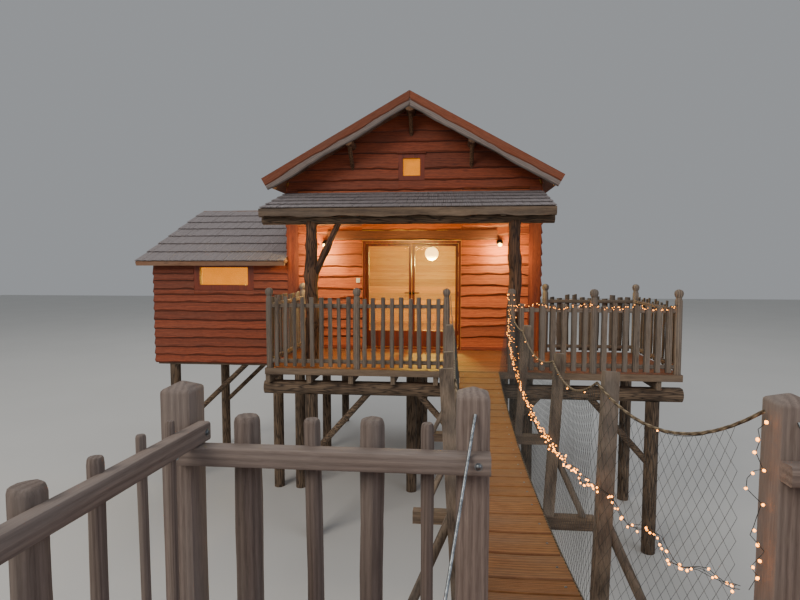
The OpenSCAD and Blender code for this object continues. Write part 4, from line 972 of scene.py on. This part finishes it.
def picketShape(name, seed, height, radius, flat):
    # split picket standing on its foot: flattened round, wavering, its head sawn off and chamfered
    rng = random.Random(seed)
    stock = newStock()
    chamfer = radius * rng.uniform(0.2, 0.45)
    levels = [((height - chamfer) * i / 7, 1.0) for i in range(8)] + [(height - chamfer * 0.3, 0.93), (height, 0.78)]
    path = [(0.008 * noise.noise((h * 1.6, seed, 2)), 0.008 * noise.noise((h * 1.6, seed, 6)), h) for h, r in levels]
    sections = [[(x * flat * r, y * r) for x, y in roundSection(radius, 10, seed * 1.7, 0.14, h)] for h, r in levels]
    addStick(stock, path, sections, rng, tint=0.0)
    return makeMesh(name, stock, True)


def slatShape(name, seed):
    # waney slat: both edges natural, head cut a little askew
    rng = random.Random(seed)
    stock = newStock()
    ends = (0, 1.0 + rng.uniform(-0.02, 0.02), 0, 1.0 + rng.uniform(-0.02, 0.02))
    addPlank(stock, ((0, 0, 0), (0, 0, 1), (1, 0, 0), (0, -1, 0)), (-slats["half"], slats["stand"]),
             (slats["half"], slats["stand"]), ends, slats["thick"], (slats["wane"], slats["wane"]), rng, 0.09)
    return makeMesh(name, stock)


def standRow(spots, a, b, margin, n, toPlace, draw):
    # n uprights, or as many as the pitch allows, from a to b; draw() gives the turn and the size of each
    clear = b - a - 2 * margin
    n = n or round(clear / rail["pitch"])
    for i in range(n):
        x, y = toPlace(a + margin + clear * (i + 0.5) / n)
        turn, size = draw()
        spots.append(((x, y, deck + rail["foot"]), (0, 0, turn), size))


frontRail, leftEnd, rightEnd, railEnd = rail["y"], rail["left"], rail["right"], rail["end"]
porchMiddle = (leftEnd + rail["gateLeft"]) / 2
makeRailing("porchRailing", random.Random(37),
            ((leftEnd, frontRail), (porchMiddle, frontRail), (rail["gateLeft"], frontRail), (leftEnd, rail["back"])),
            rail["heights"],
            (((leftEnd + railEnd, frontRail), (rail["gateLeft"] - railEnd, frontRail)),
             ((leftEnd, frontRail + railEnd), (leftEnd, rail["back"] - railEnd))), "porch_railing")
picketShapes = [picketShape("picket" + str(k), 50 + k, pickets["height"], pickets["radius"], pickets["flat"])
                for k in range(6)]
picketSpots = []
rng = random.Random(8)


def drawPicket(turns):
    return (rng.choice(turns) * math.pi / 2 + rng.uniform(*pickets["askew"]),
            (1, rng.uniform(*pickets["widths"]), rng.uniform(*pickets["heights"])))


for a, b in ((leftEnd, porchMiddle), (porchMiddle, rail["gateLeft"])):
    standRow(picketSpots, a, b, pickets["margin"], None, lambda t: (t, frontRail - pickets["out"]),
             lambda: drawPicket((1, 3)))
standRow(picketSpots, frontRail, rail["back"], pickets["margin"], pickets["sideCount"],
         lambda t: (leftEnd - pickets["out"], t), lambda: drawPicket((0, 2)))
scatter("porchPickets", picketSpots, picketShapes, weatheredWood, 12, 0.0, 0.012, smooth=True)

sideMiddle = (rail["gateRight"] + rightEnd) / 2
rng = random.Random(39)
makeRailing("sideRailing", rng,
            ((rail["gateRight"], frontRail), (sideMiddle, frontRail), (rightEnd, frontRail), (rightEnd, rail["back"]),
             (rail["wall"], rail["back"])),
            rail["sideHeights"],
            (((rail["gateRight"] + railEnd, frontRail), (rightEnd - railEnd, frontRail)),
             ((rightEnd, frontRail + railEnd), (rightEnd, rail["back"] - railEnd)),
             ((rail["wall"] + railEnd, rail["back"]), (rightEnd - railEnd, rail["back"]))), "side_railing")
slatShapes = [slatShape("slat" + str(k), 90 + k) for k in range(6)]
slatSpots = []


def drawSlat(turn):
    return turn, (rng.uniform(*slats["widths"]), 1, rng.uniform(*slats["heights"]))


for a, b in ((rail["gateRight"], sideMiddle), (sideMiddle, rightEnd)):
    standRow(slatSpots, a, b, slats["margin"], None, lambda t: (t, frontRail - slats["out"]), lambda: drawSlat(0))
standRow(slatSpots, frontRail, rail["back"], slats["margin"], slats["sideCount"],
         lambda t: (rightEnd + slats["out"], t), lambda: drawSlat(math.pi / 2))
standRow(slatSpots, rail["wall"], rightEnd, slats["margin"], slats["backCount"],
         lambda t: (t, rail["back"] + slats["out"]), lambda: drawSlat(math.pi))
scatter("sideSlats", slatSpots, slatShapes, weatheredWood, 15, 0.0, 0.006)
print("railings set")

# bridge: everything on one sagging curve; frames are its uprights, with the solids' own numbers
bridge = {"x": 1.18, "far": -2.185, "length": 6.28, "sag": 0.27, "plankLength": 0.59, "plankWidth": 0.24,
          "plankGap": 0.012, "plankThick": 0.035, "bolt": 0.235, "worn": 0.004, "arris": 0.006,
          "widths": (0.23, 0.235, 0.22, 0.29, 0.24, 0.233, 0.247, 0.232, 0.232, 0.246, 0.24, 0.205, 0.195, 0.215,
                     0.215, 0.227, 0.213, 0.371, 0.352, 0.345, 0.351, 0.177, 0.184, 0.19, 0.2, 0.195)}
frames = {"runs": (2.12, 4.15, 5.64), "foot": 0.345, "footLow": 0.1556, "high": 1.2, "lean": 0.085, "half": 0.0375,
          "clear": 0.003}
ropes = {"radius": 0.007, "hand": 1.14, "farTie": 1.15, "gate": 0.49, "sag": 0.12, "lastSag": 0.165, "steps": 14,
         "edge": 0.304, "edgeEnd": 0.015, "edgeDown": 0.0175, "edgeSteps": 48,
         "near": {-1: (0.87, -8.46, deck + 1.0), 1: (1.911, -8.535, deck + 1.12)}, "stay": {-1: 0.87, 1: 1.99},
         "stayTop": (-8.606, 1.1), "stayFoot": (0.22, -9.305, 0.014), "stayRadius": 0.006}
half = bridge["length"] / 2
bridgeR = half ** 2 / (2 * bridge["sag"]) + bridge["sag"] / 2
bridgeMid = bridge["far"] - half


def overBridge(x, y, z):
    # a point x from the bridge's middle and z over its planks, on the sagging curve
    angle = math.asin((y - bridgeMid) / bridgeR)
    return Vector((bridge["x"] + x, bridgeMid + (bridgeR - z) * math.sin(angle),
                   deck + bridgeR - bridge["sag"] - (bridgeR - z) * math.cos(angle)))


def plankShape(name, seed):
    # trodden plank: hollowed middle, worn arrises, ends cut by hand; X along it, top at zero
    stock = newStock()
    long, wide, thick, arris = (bridge["plankLength"] / 2, bridge["plankWidth"] / 2, bridge["plankThick"],
                                bridge["arris"])
    path, sections = [], []
    for i in range(9):
        t = i / 8
        x = -long + 2 * long * t
        top = 0.0012 * noise.noise((x * 5, seed, 0)) - bridge["worn"] * math.sin(math.pi * t)
        a, b = (wide - 0.002 + 0.002 * noise.noise((x * 6, seed, layer)) for layer in (4, 8))
        sections.append([(-a, -thick), (-a, top - arris), (arris - a, top), (-a * 0.4, top - 0.0008),
                         (b * 0.4, top - 0.001), (b - arris, top), (b, top - arris), (b, -thick)])
        path.append((x, 0, 0))
    addStick(stock, path, sections, random.Random(seed), side=(0, 1, 0), tint=0.0)
    return makeMesh(name, stock)


def boltShape(name, radius, height):
    # coach bolt: low domed head on a thin washer
    return turnedShape(name, [(radius * r, height * h) for r, h in (
        (1.5, 0.0), (1.5, 0.18), (1, 0.2), (0.93, 0.6), (0.6, 0.92), (0.15, 1))], 10)


plankSpots, boltSpots = [], []
rng = random.Random(77)
y = bridge["far"]
for width in bridge["widths"]:
    step = width * bridge["length"] / sum(bridge["widths"])
    y -= step / 2
    angle = math.asin((y - bridgeMid) / bridgeR)
    plankSpots.append((overBridge(0, y, 0), (angle, 0, rng.uniform(-0.006, 0.006)),
                       (rng.uniform(0.985, 1.0), (step - bridge["plankGap"]) / bridge["plankWidth"], 1)))
    for s in (-1, 1):
        boltSpots.append((overBridge(s * bridge["bolt"], y + rng.uniform(-0.01, 0.01), -0.001),
                          (angle, 0, rng.uniform(0, 1)), (1, 1, 1)))
    y -= step / 2
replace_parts(scatter("bridgePlanks", plankSpots, [plankShape("plank" + str(k), 30 + k) for k in range(5)], bridgeWood,
                    19), "bridge_planks")
scatter("plankBolts", boltSpots, [boltShape("plankBolt", 0.006, 0.005)], zincSteel, 3)

# hand ropes over the uprights, edge ropes along the planks, stays down to the landing
share = (ropes["hand"] + frames["footLow"]) / (frames["high"] + frames["footLow"])
ropeX = frames["foot"] + share * frames["lean"] - frames["half"] - ropes["radius"] - frames["clear"]
frameY = [bridge["far"] - run for run in frames["runs"]]
handLines, edgeLines, stayLines = {}, {}, []
for s in (-1, 1):
    farEnd = Vector((bridge["x"] + s * (ropes["gate"] - rail["post"] - ropes["radius"]), rail["y"],
                     deck + ropes["farTie"]))
    overPlanks = [overBridge(s * ropeX - (0.02 if s > 0 and y == frameY[2] else 0), y, ropes["hand"]) for y in frameY]
    sags = [ropes["sag"]] * 3 + [ropes["lastSag"] if s > 0 else ropes["sag"]]
    handLines[s] = draped([farEnd, *overPlanks, Vector(ropes["near"][s])], sags, ropes["steps"])
    edgeRun = bridge["length"] - 2 * ropes["edgeEnd"]
    edgeLines[s] = [overBridge(s * ropes["edge"], bridge["far"] - ropes["edgeEnd"] - i * edgeRun / ropes["edgeSteps"],
                               -ropes["edgeDown"]) for i in range(ropes["edgeSteps"] + 1)]
    stayX, (topY, topZ), (out, footY, footZ) = ropes["stay"][s], ropes["stayTop"], ropes["stayFoot"]
    stayLines.append([Vector((stayX, topY, deck + topZ)), Vector((stayX + s * out, footY, deck + footZ))])
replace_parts(sweep("handRopes", [handLines[-1], handLines[1], edgeLines[-1], edgeLines[1]], ropes["radius"], 12,
                  hempRope), "hand_ropes")
sweep("stays", stayLines, ropes["stayRadius"], 10, zincSteel)
clipProfile = ((0.001, 0.0), (0.011, 0.001), (0.0125, 0.012), (0.009, 0.016), (0.009, 0.028), (0.0125, 0.032),
               (0.011, 0.043), (0.001, 0.044))
clips = newStock()
for start, end in stayLines:
    addTurned(clips, start.lerp(end, 0.55), end - start, clipProfile, 12)
makePiece("stayClips", clips, zincSteel, smooth=True)

# wire netting between the hand rope and the planks' edge on both sides
net = {"mesh": 0.045, "wire": 0.0009, "rows": 22, "bulge": 0.02, "inside": 0.004}


def onLine(line, y):
    # a line's point at a place along Y, or its end where the place is past it
    share = min(1, max(0, (y - line[0].y) / (line[-1].y - line[0].y)))
    y = line[0].y + (line[-1].y - line[0].y) * share
    for a, b in zip(line, line[1:]):
        if (a.y - y) * (b.y - y) <= 0 and abs(a.y - b.y) > 1e-6:
            return a.lerp(b, (y - a.y) / (b.y - a.y))
    return line[-1].copy()


def netLines(s):
    # crossing wires; the right net goes on to the landing's near post
    top, low, rows = handLines[s], edgeLines[s], net["rows"]
    if s > 0:
        low = [p for p in low if p.y > -7.9] + [Vector((1.925, -8.455, deck + 0.03))]
    far, near = low[0].y - 0.03, low[-1].y + 0.003
    lines = []
    for k in range(-rows, int((far - near) / net["mesh"]) + rows):
        for lean in (1, -1):
            line = []
            for r in range(rows + 1):
                y = far - net["mesh"] * (k + lean * r * 0.5 + (rows / 2 if lean < 0 else 0))
                if near <= y <= far:
                    h = r / rows
                    bulge = net["bulge"] * math.sin(math.pi * h) * noise.noise((y * 1.5, s * 3.0, h * 2))
                    line.append(onLine(low, y).lerp(onLine(top, y), h) + Vector((bulge - s * net["inside"], 0, 0)))
            if len(line) > 1:
                lines.append(line)
    return lines


for s, name in ((-1, "nettingLeft"), (1, "nettingRight")):
    sweep(name, netLines(s), net["wire"], 3, netCord)
print("bridge hung")

# landing fence: front rails along the posts' near faces, side rails over them, splayed to the back
landing = {"left": -0.35, "right": 3.22, "front": -8.465, "post": 0.14, "rail": 0.075, "sideRail": 0.055,
           "heights": (0.15, 0.93), "rise": 0.076, "splay": math.radians(5), "midBack": 1.25, "back": 2.5,
           "gap": 0.014, "over": 0.055, "fromPost": 0.145, "fromGate": 0.07, "boltRuns": (0.13, 2.43),
           "boltShifts": (0.03, 0.01, -0.01, -0.03), "boltSize": 1.3, "frontTop": 1.07, "sideTop": 1.095,
           "foot": 0.02, "frontWide": 0.124, "sideWide": 0.138,
           "frontShift": 0.007, "postX": (-0.28, 0.87, 1.99, 3.15), "postY": (-8.535, -9.715, -10.895),
           "frontStakes": ((0.135, 0.42, 0.655, 0.885), (0.108, 0.065, 0.096, 0.05)),
           "sideStakes": ((0.131, 0.287, 0.485, 0.691, 0.88), (0.034, 0.034, 0.052, 0.1, 0.06))}
postX, postY = landing["postX"], landing["postY"]
splayCos, splaySin = math.cos(landing["splay"]), math.sin(landing["splay"])
railY = postY[0] - landing["post"] / 2 - landing["rail"] / 2
sideIn = landing["post"] + landing["gap"] + landing["sideRail"] / 2
midRun, backRun = landing["midBack"] / splayCos, landing["back"] / splayCos


def alongSide(s, run, inward, high):
    # point at a run along a side of the landing from its front, and a distance inside its edge
    across = inward * splayCos - run * splaySin
    return Vector((landing["left"] + across if s < 0 else landing["right"] - across,
                   landing["front"] - run * splayCos - inward * splaySin, deck + high))


def postInset(y):
    widening = (landing["front"] - y + landing["post"] / 2) * math.tan(landing["splay"])
    return (landing["post"] + landing["gap"]) / splayCos - widening - landing["post"] / 2 - 0.001


def squarePost(stock, x, y, wide, rng):
    # sawn post with worn arrises and a low hand-cut hipped head
    seed = rng.uniform(0, 60)
    deep = landing["post"] - 0.002
    steps = ((0.0, 1.0), (0.25, 1.0), (0.5, 0.99), (0.75, 1.0), (1.0, 0.995), (1.148, 1.0), (1.156, 0.985),
             (1.163, 0.9), (1.174, 0.55), (1.186, 0.15), (1.188, 0.05))
    addStick(stock, [(x, y, deck + h) for h, f in steps],
             [squareSection(wide * f, deep * f, 0.012 * f, 0.002, seed, h) for h, f in steps], rng)


postStock = newStock()
rng = random.Random(51)
for x, side in zip(postX, (-1, -1, 1, 1)):
    squarePost(postStock, x + side * landing["frontShift"], postY[0], landing["frontWide"], rng)
for y in postY[1:]:
    for x in (landing["left"] + postInset(y), landing["right"] - postInset(y)):
        squarePost(postStock, x, y, landing["sideWide"], rng)
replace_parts(makePiece("landingPosts", postStock, nearFenceWood, smooth=True), "landing_posts")

railStock = newStock()
for h in landing["heights"]:
    for a, b in ((postX[0], postX[1] + landing["over"]), (postX[2] - landing["over"], postX[3])):
        sawnBar(railStock, (a, railY, deck + h), (b, railY, deck + h), 0.073, 0.074, rng, steps=7, wobble=0.002,
                soft=0.009)
    for s in (-1, 1):
        a, b = (alongSide(s, run, sideIn, h + landing["rise"]) for run in (landing["post"] - 0.035, backRun - 0.004))
        sawnBar(railStock, a, b, 0.073, 0.054, rng, steps=12, wobble=0.002, soft=0.009)
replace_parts(makePiece("landingRails", railStock, nearFenceWood, smooth=True), "landing_fences")

# stakes: peeled poles of unequal girth with sawn heads, on the rails' outer sides
stakeSpots = []


def stakeRow(x0, x1, stakes, railWide, top, toWorld):
    # stakes are shares of the way from x0 to x1, and their widths
    for share, wide in zip(*stakes):
        girth = wide / 0.1 * 0.97
        place = toWorld(x0 + share * (x1 - x0), railWide / 2 + wide / 2 - 0.012)
        stakeSpots.append((place, (0, 0, rng.uniform(0, 6.28)),
                           (girth, girth, (top - landing["foot"]) * rng.uniform(0.985, 1.0))))


fromPost, fromGate = landing["fromPost"], landing["fromGate"]
for a, b in ((postX[0] + fromPost, postX[1] - fromGate), (postX[2] + fromGate, postX[3] - fromPost)):
    stakeRow(a, b, landing["frontStakes"], landing["rail"], landing["frontTop"],
             lambda t, out: (t, railY + out, deck + landing["foot"]))
for s in (-1, 1):
    for a, b in ((landing["post"], midRun - fromGate), (midRun + fromGate, backRun - landing["post"])):
        stakeRow(a, b, landing["sideStakes"], landing["sideRail"], landing["sideTop"],
                 lambda t, out: alongSide(s, t, sideIn - out, landing["foot"]))
scatter("landingStakes", stakeSpots, [picketShape("stake" + str(k), 900 + 7 * k, 1.0, 0.05, 1.0) for k in range(6)],
        nearFenceWood, 60, 0.0, 0.006, smooth=True)

# coach bolts that hold the rails to the posts
fenceBolts, boltSize = [], (landing["boltSize"],) * 3
for h in landing["heights"]:
    for x, shift in zip(postX, landing["boltShifts"]):
        fenceBolts.append(((x + shift, railY - 0.036, deck + h), (math.pi / 2, 0, 0), boltSize))
    for s in (-1, 1):
        for run in (landing["boltRuns"][0], midRun, landing["boltRuns"][1]):
            place = alongSide(s, run, sideIn + landing["sideRail"] / 2 - 0.001, h + landing["rise"])
            fenceBolts.append((place, (0, -s * math.pi / 2, s * landing["splay"]), boltSize))
scatter("fenceBolts", fenceBolts, [boltShape("fenceBolt", 0.008, 0.006)], zincSteel, 5)
print("landing fenced")

# wall lamps and pendant: turned profiles of (radius, height)
wallLamp = {
    "x": 1.64, "high": 2.02, "reach": 0.085,
    "bracket": ((0.001, 0.0), (0.056, 0.0), (0.058, 0.006), (0.05, 0.014), (0.02, 0.02), (0.011, 0.026),
                (0.011, 0.075), (0.001, 0.078)),
    "shade": ((0.001, 0.03), (0.02, 0.028), (0.034, 0.012), (0.05, -0.012), (0.056, -0.03), (0.053, -0.031),
              (0.03, 0.0), (0.001, 0.006)),
    "bulb": ((0.001, -0.045), (0.02, -0.041), (0.034, -0.026), (0.038, -0.006), (0.031, 0.014), (0.018, 0.026),
             (0.001, 0.03))}
lampBulbs, lampBrackets = newStock(), newStock()
for s in (-1, 1):
    spot = Vector((s * wallLamp["x"], frontY - 0.03, deck + wallLamp["high"]))
    addTurned(lampBrackets, spot, (0, -1, 0), wallLamp["bracket"], 20)
    for stock, part, rise, sides in ((lampBrackets, "shade", 0.01, 24), (lampBulbs, "bulb", -0.03, 20)):
        addTurned(stock, spot + Vector((0, -wallLamp["reach"], rise)), (0, 0, 1), wallLamp[part], sides)
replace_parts(makePiece("wallLampBrackets", lampBrackets, blackIron, smooth=True), "wall_lights")
makePiece("wallLampBulbs", lampBulbs, globeGlass, smooth=True)

pendant = {"place": (0.3, 2.1, deck + 1.85), "radius": 0.15, "rings": 22,
           "rod": ((0.002, 0.13), (0.045, 0.133), (0.047, 0.16), (0.02, 0.178), (0.0065, 0.19), (0.0065, 2.45),
                   (0.002, 2.452))}
globe, rod = newStock(), newStock()
arcs = [math.pi * i / pendant["rings"] for i in range(pendant["rings"] + 1)]
addTurned(globe, pendant["place"], (0, 0, 1),
          [(max(0.002, pendant["radius"] * math.sin(a)), -pendant["radius"] * math.cos(a)) for a in arcs], 36)
addTurned(rod, pendant["place"], (0, 0, 1), pendant["rod"], 20)
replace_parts(makePiece("pendantGlobe", globe, globeGlass, smooth=True), "pendant_lamp")
makePiece("pendantRod", rod, blackIron, smooth=True)

# door furniture: a rose and a lever on both faces of each leaf
handles = {"x": 0.031, "high": 1.07, "faces": ((0.025, -1), (0.075, 1)), "proud": 0.0005, "stem": 0.038,
           "reach": 0.105, "wide": 0.0085, "deep": 0.0062, "steps": 8,
           "rose": ((0.001, 0.0), (0.024, 0.0), (0.025, 0.003), (0.022, 0.007), (0.011, 0.009), (0.0105, 0.045),
                    (0.001, 0.047))}
rng = random.Random(9)
for side, body, name in ((-1, "left_leaf", "handleLeft"), (1, "right_leaf", "handleRight")):
    handle = newStock()
    for face, out in handles["faces"]:
        place = Vector((side * handles["x"], face + out * handles["proud"], deck + handles["high"]))
        addTurned(handle, place, (0, out, 0), handles["rose"], 20)
        lever, sections = [], []
        for k in range(handles["steps"] + 1):
            t = k / handles["steps"]
            lever.append(place + Vector((side * t * handles["reach"],
                                         out * (handles["stem"] + 0.004 * math.sin(t * 3.1)), -0.004 * t)))
            sections.append([(handles["wide"] * x * (1 - 0.2 * t), handles["deep"] * y) for x, y in circle(12)])
        addStick(handle, lever, sections, rng)
    makePiece(name, handle, blackIron, body, True)

# small white switch plate beside the door
plate, plateX = newStock(), -1.015
for out, low, high, wide, thick, steps, soft in ((0.036, 1.27, 1.355, 0.075, 0.014, 3, 0.004),
                                                 (0.045, 1.295, 1.33, 0.03, 0.008, 2, 0.002)):
    a, b = ((plateX, frontY - out, deck + h) for h in (low, high))
    sawnBar(plate, a, b, wide, thick, rng, (1, 0, 0), steps, 0.0, soft)
makePiece("switchPlate", plate, whitePlastic, smooth=True)
print("lamps and handles placed")

# garlands: name, line, seed, strands, spacing of the bulbs, spread of the strands, size of the bulbs
garland = {"bulb": 0.0055, "wire": 0.0014, "step": 0.03, "waves": 5, "first": (0, 0.05), "gaps": (0.5, 1.6),
           "sizeChange": 0.12, "turnChange": 0.3}
gateX, garlandY = rail["gateRight"], rail["y"] - 0.05
railLine = [(gateX, rail["y"] - 0.04, deck + 1.02),
            *((1.8 + 0.15 * i, garlandY, deck + 1.0 + 0.025 * math.sin(i * 1.3)) for i in range(15)),
            (rightEnd, garlandY, deck + 1.03)]
garlands = (
    ("bridgeGarland", (
        (1.62, -2.19, 4), (1.6, -2.45, 3.72), (1.56, -2.85, 3.5), (1.535, -3.5, 3.28), (1.53, -4.2, 3.14),
        (1.525, -5.1, 3.06), (1.52, -5.94, 3.075), (1.505, -6.6, 3.13), (1.488, -7.3, 3.245), (1.5, -7.6, 3.284),
        (1.497, -7.9, 3.357), (1.537, -7.93, 3.332), (1.581, -7.93, 3.264), (1.628, -7.95, 3.2), (1.674, -8.05, 3.227),
        (1.707, -8.13, 3.24), (1.715, -8.25, 3.204), (1.733, -8.33, 3.198), (1.773, -8.4, 3.235),
        (1.828, -8.47, 3.234), (1.858, -8.52, 3.254), (1.882, -8.55, 3.25)), 5, 3, 0.06, 0.045, 1.0),
    ("postGarland", [(x, -8.56, z) for x, z in (
        (1.877, 3.256), (1.899, 3.31), (1.87, 3.343), (1.908, 3.402), (1.858, 3.467), (1.89, 3.532), (1.908, 3.585),
        (1.855, 3.642), (1.857, 3.68), (1.879, 3.71), (1.908, 3.719), (1.895, 3.751), (1.88, 3.784), (1.892, 3.828),
        (1.883, 3.865), (1.908, 3.884), (1.908, 3.928))], 6, 1, 0.036, 0.02, 1.15),
    ("handRopeGarland", [p + Vector((-0.002, 0, -0.006)) for p in handLines[1][16:]], 7, 1, 0.45, 0.008, 0.8),
    ("sideRailGarland", railLine, 8, 3, 0.08, 0.04, 1.0),
    ("gatePostGarland", [(gateX + x, rail["y"] + y, deck + z) for x, y, z in (
        (0.02, -0.06, 1.2), (0.05, -0.065, 0.9), (0.03, -0.06, 0.5), (0.12, -0.06, 0.2))], 9, 1, 0.06, 0.03, 1.0))
for name, line, seed, strands, spacing, spread, size in garlands:
    rng = random.Random(seed)
    wires, spots = [], []
    radius = garland["bulb"] * size
    line = [Vector(p) for p in line]
    for k in range(strands):
        phase = rng.uniform(0, 50)
        wire, gone = [], 0.0
        for a, b in zip(line, line[1:]):
            steps = max(1, int((b - a).length / garland["step"]))
            for i in range(steps):
                gone += (b - a).length / steps
                sway = [noise.noise((gone * garland["waves"], phase, layer)) for layer in (0, 9, 17)]
                wire.append(a.lerp(b, i / steps) + spread * Vector((sway[0], sway[1], 1.2 * sway[2])))
        wires.append(wire)
        left = rng.uniform(*garland["first"])
        for a, b in zip(wire, wire[1:]):
            left -= (b - a).length
            if left <= 0:
                left = spacing * rng.uniform(*garland["gaps"])
                drop = Vector((rng.uniform(-1, 1), rng.uniform(-1, 1), rng.uniform(-1.6, 0.4))) * radius * 1.6
                spots.append((b + drop, (rng.uniform(-1, 1), rng.uniform(-1, 1), 0), (radius, radius, radius)))
    sweep(name + "Wire", wires, garland["wire"], 4, wireGreen)
    # drop-shaped bulb of a few faces
    bulb = turnedShape(name + "Bulb", ((0.15, -1.0), (0.8, -0.55), (1.0, 0.1), (0.7, 0.8), (0.25, 1.15)), 6)
    scatter(name + "Bulbs", spots, [bulb], bulbGlass, seed, garland["sizeChange"],
            garland["turnChange"])
print("lights strung")

# studio: pale matt floor, soft daylight and the house's own warm lamps
studio = {"half": 60, "floorRough": 0.95, "skyColour": "#dfe3e8", "sky": 0.42}
floorMaterial, floorTree, floorShader = startMaterial("paleStudioFloor")
floorTone = blend(floorTree, speckle(floorTree, objectPlace(floorTree), 0.35, 3.0), toLinear("#c9c8c4"),
                  toLinear("#d2d1cd"))
floorTree.links.new(floorTone, floorShader.inputs["Base Color"])
floorShader.inputs["Roughness"].default_value = studio["floorRough"]
studioFloor = bpy.data.meshes.new("studioFloor")
corners = [(x * studio["half"], y * studio["half"], 0) for x, y in ((-1, -1), (1, -1), (1, 1), (-1, 1))]
studioFloor.from_pydata(corners, [], [(0, 1, 2, 3)])
studioFloor.materials.append(floorMaterial)
addObject("studioFloor", studioFloor)

world = bpy.data.worlds.new("studio")
bpy.context.scene.world = world
world.use_nodes = True
sky = world.node_tree.nodes["Background"].inputs
sky[0].default_value, sky[1].default_value = toLinear(studio["skyColour"]), studio["sky"]

glow = (wallLamp["x"], frontY - 0.34, deck + 1.84)
for name, kind, place, power, colour, size, aim in (
        ("softKey", "AREA", (-15, -24, 20), 4600, "#fff6ea", 14, (0, -2, 4)),
        ("softFill", "AREA", (20, -20, 14), 1500, "#eaf1ff", 16, (1, -3, 3.5)),
        ("softTop", "AREA", (-2, 14, 30), 2600, "#ffffff", 20, (0, 1, 4)),
        ("pendantGlow", "POINT", (0.3, 2.1, deck + 1.62), 340, "#ffe066", 0.15, None),
        ("annexGlow", "POINT", (-3.7, 1.2, deck + 1.3), 60, "#ffd25c", 0.1, None),
        ("wallGlow-1", "POINT", (-glow[0], *glow[1:]), 60, "#ffdf90", 0.08, None),
        ("wallGlow1", "POINT", glow, 60, "#ffdf90", 0.08, None),
        ("porchGlow", "AREA", (0, -1.3, deck + 2.1), 34, "#ffd680", 0.5, (0, 0, deck + 0.9))):
    data = bpy.data.lights.new(name, kind)
    data.energy = power
    data.color = toLinear(colour)[:3]
    setattr(data, "size" if kind == "AREA" else "shadow_soft_size", size)
    lamp = addObject(name, data)
    lamp.location = place
    if aim:
        lamp.rotation_euler = (Vector(aim) - Vector(place)).to_track_quat("-Z", "Y").to_euler()
print("studio lit")
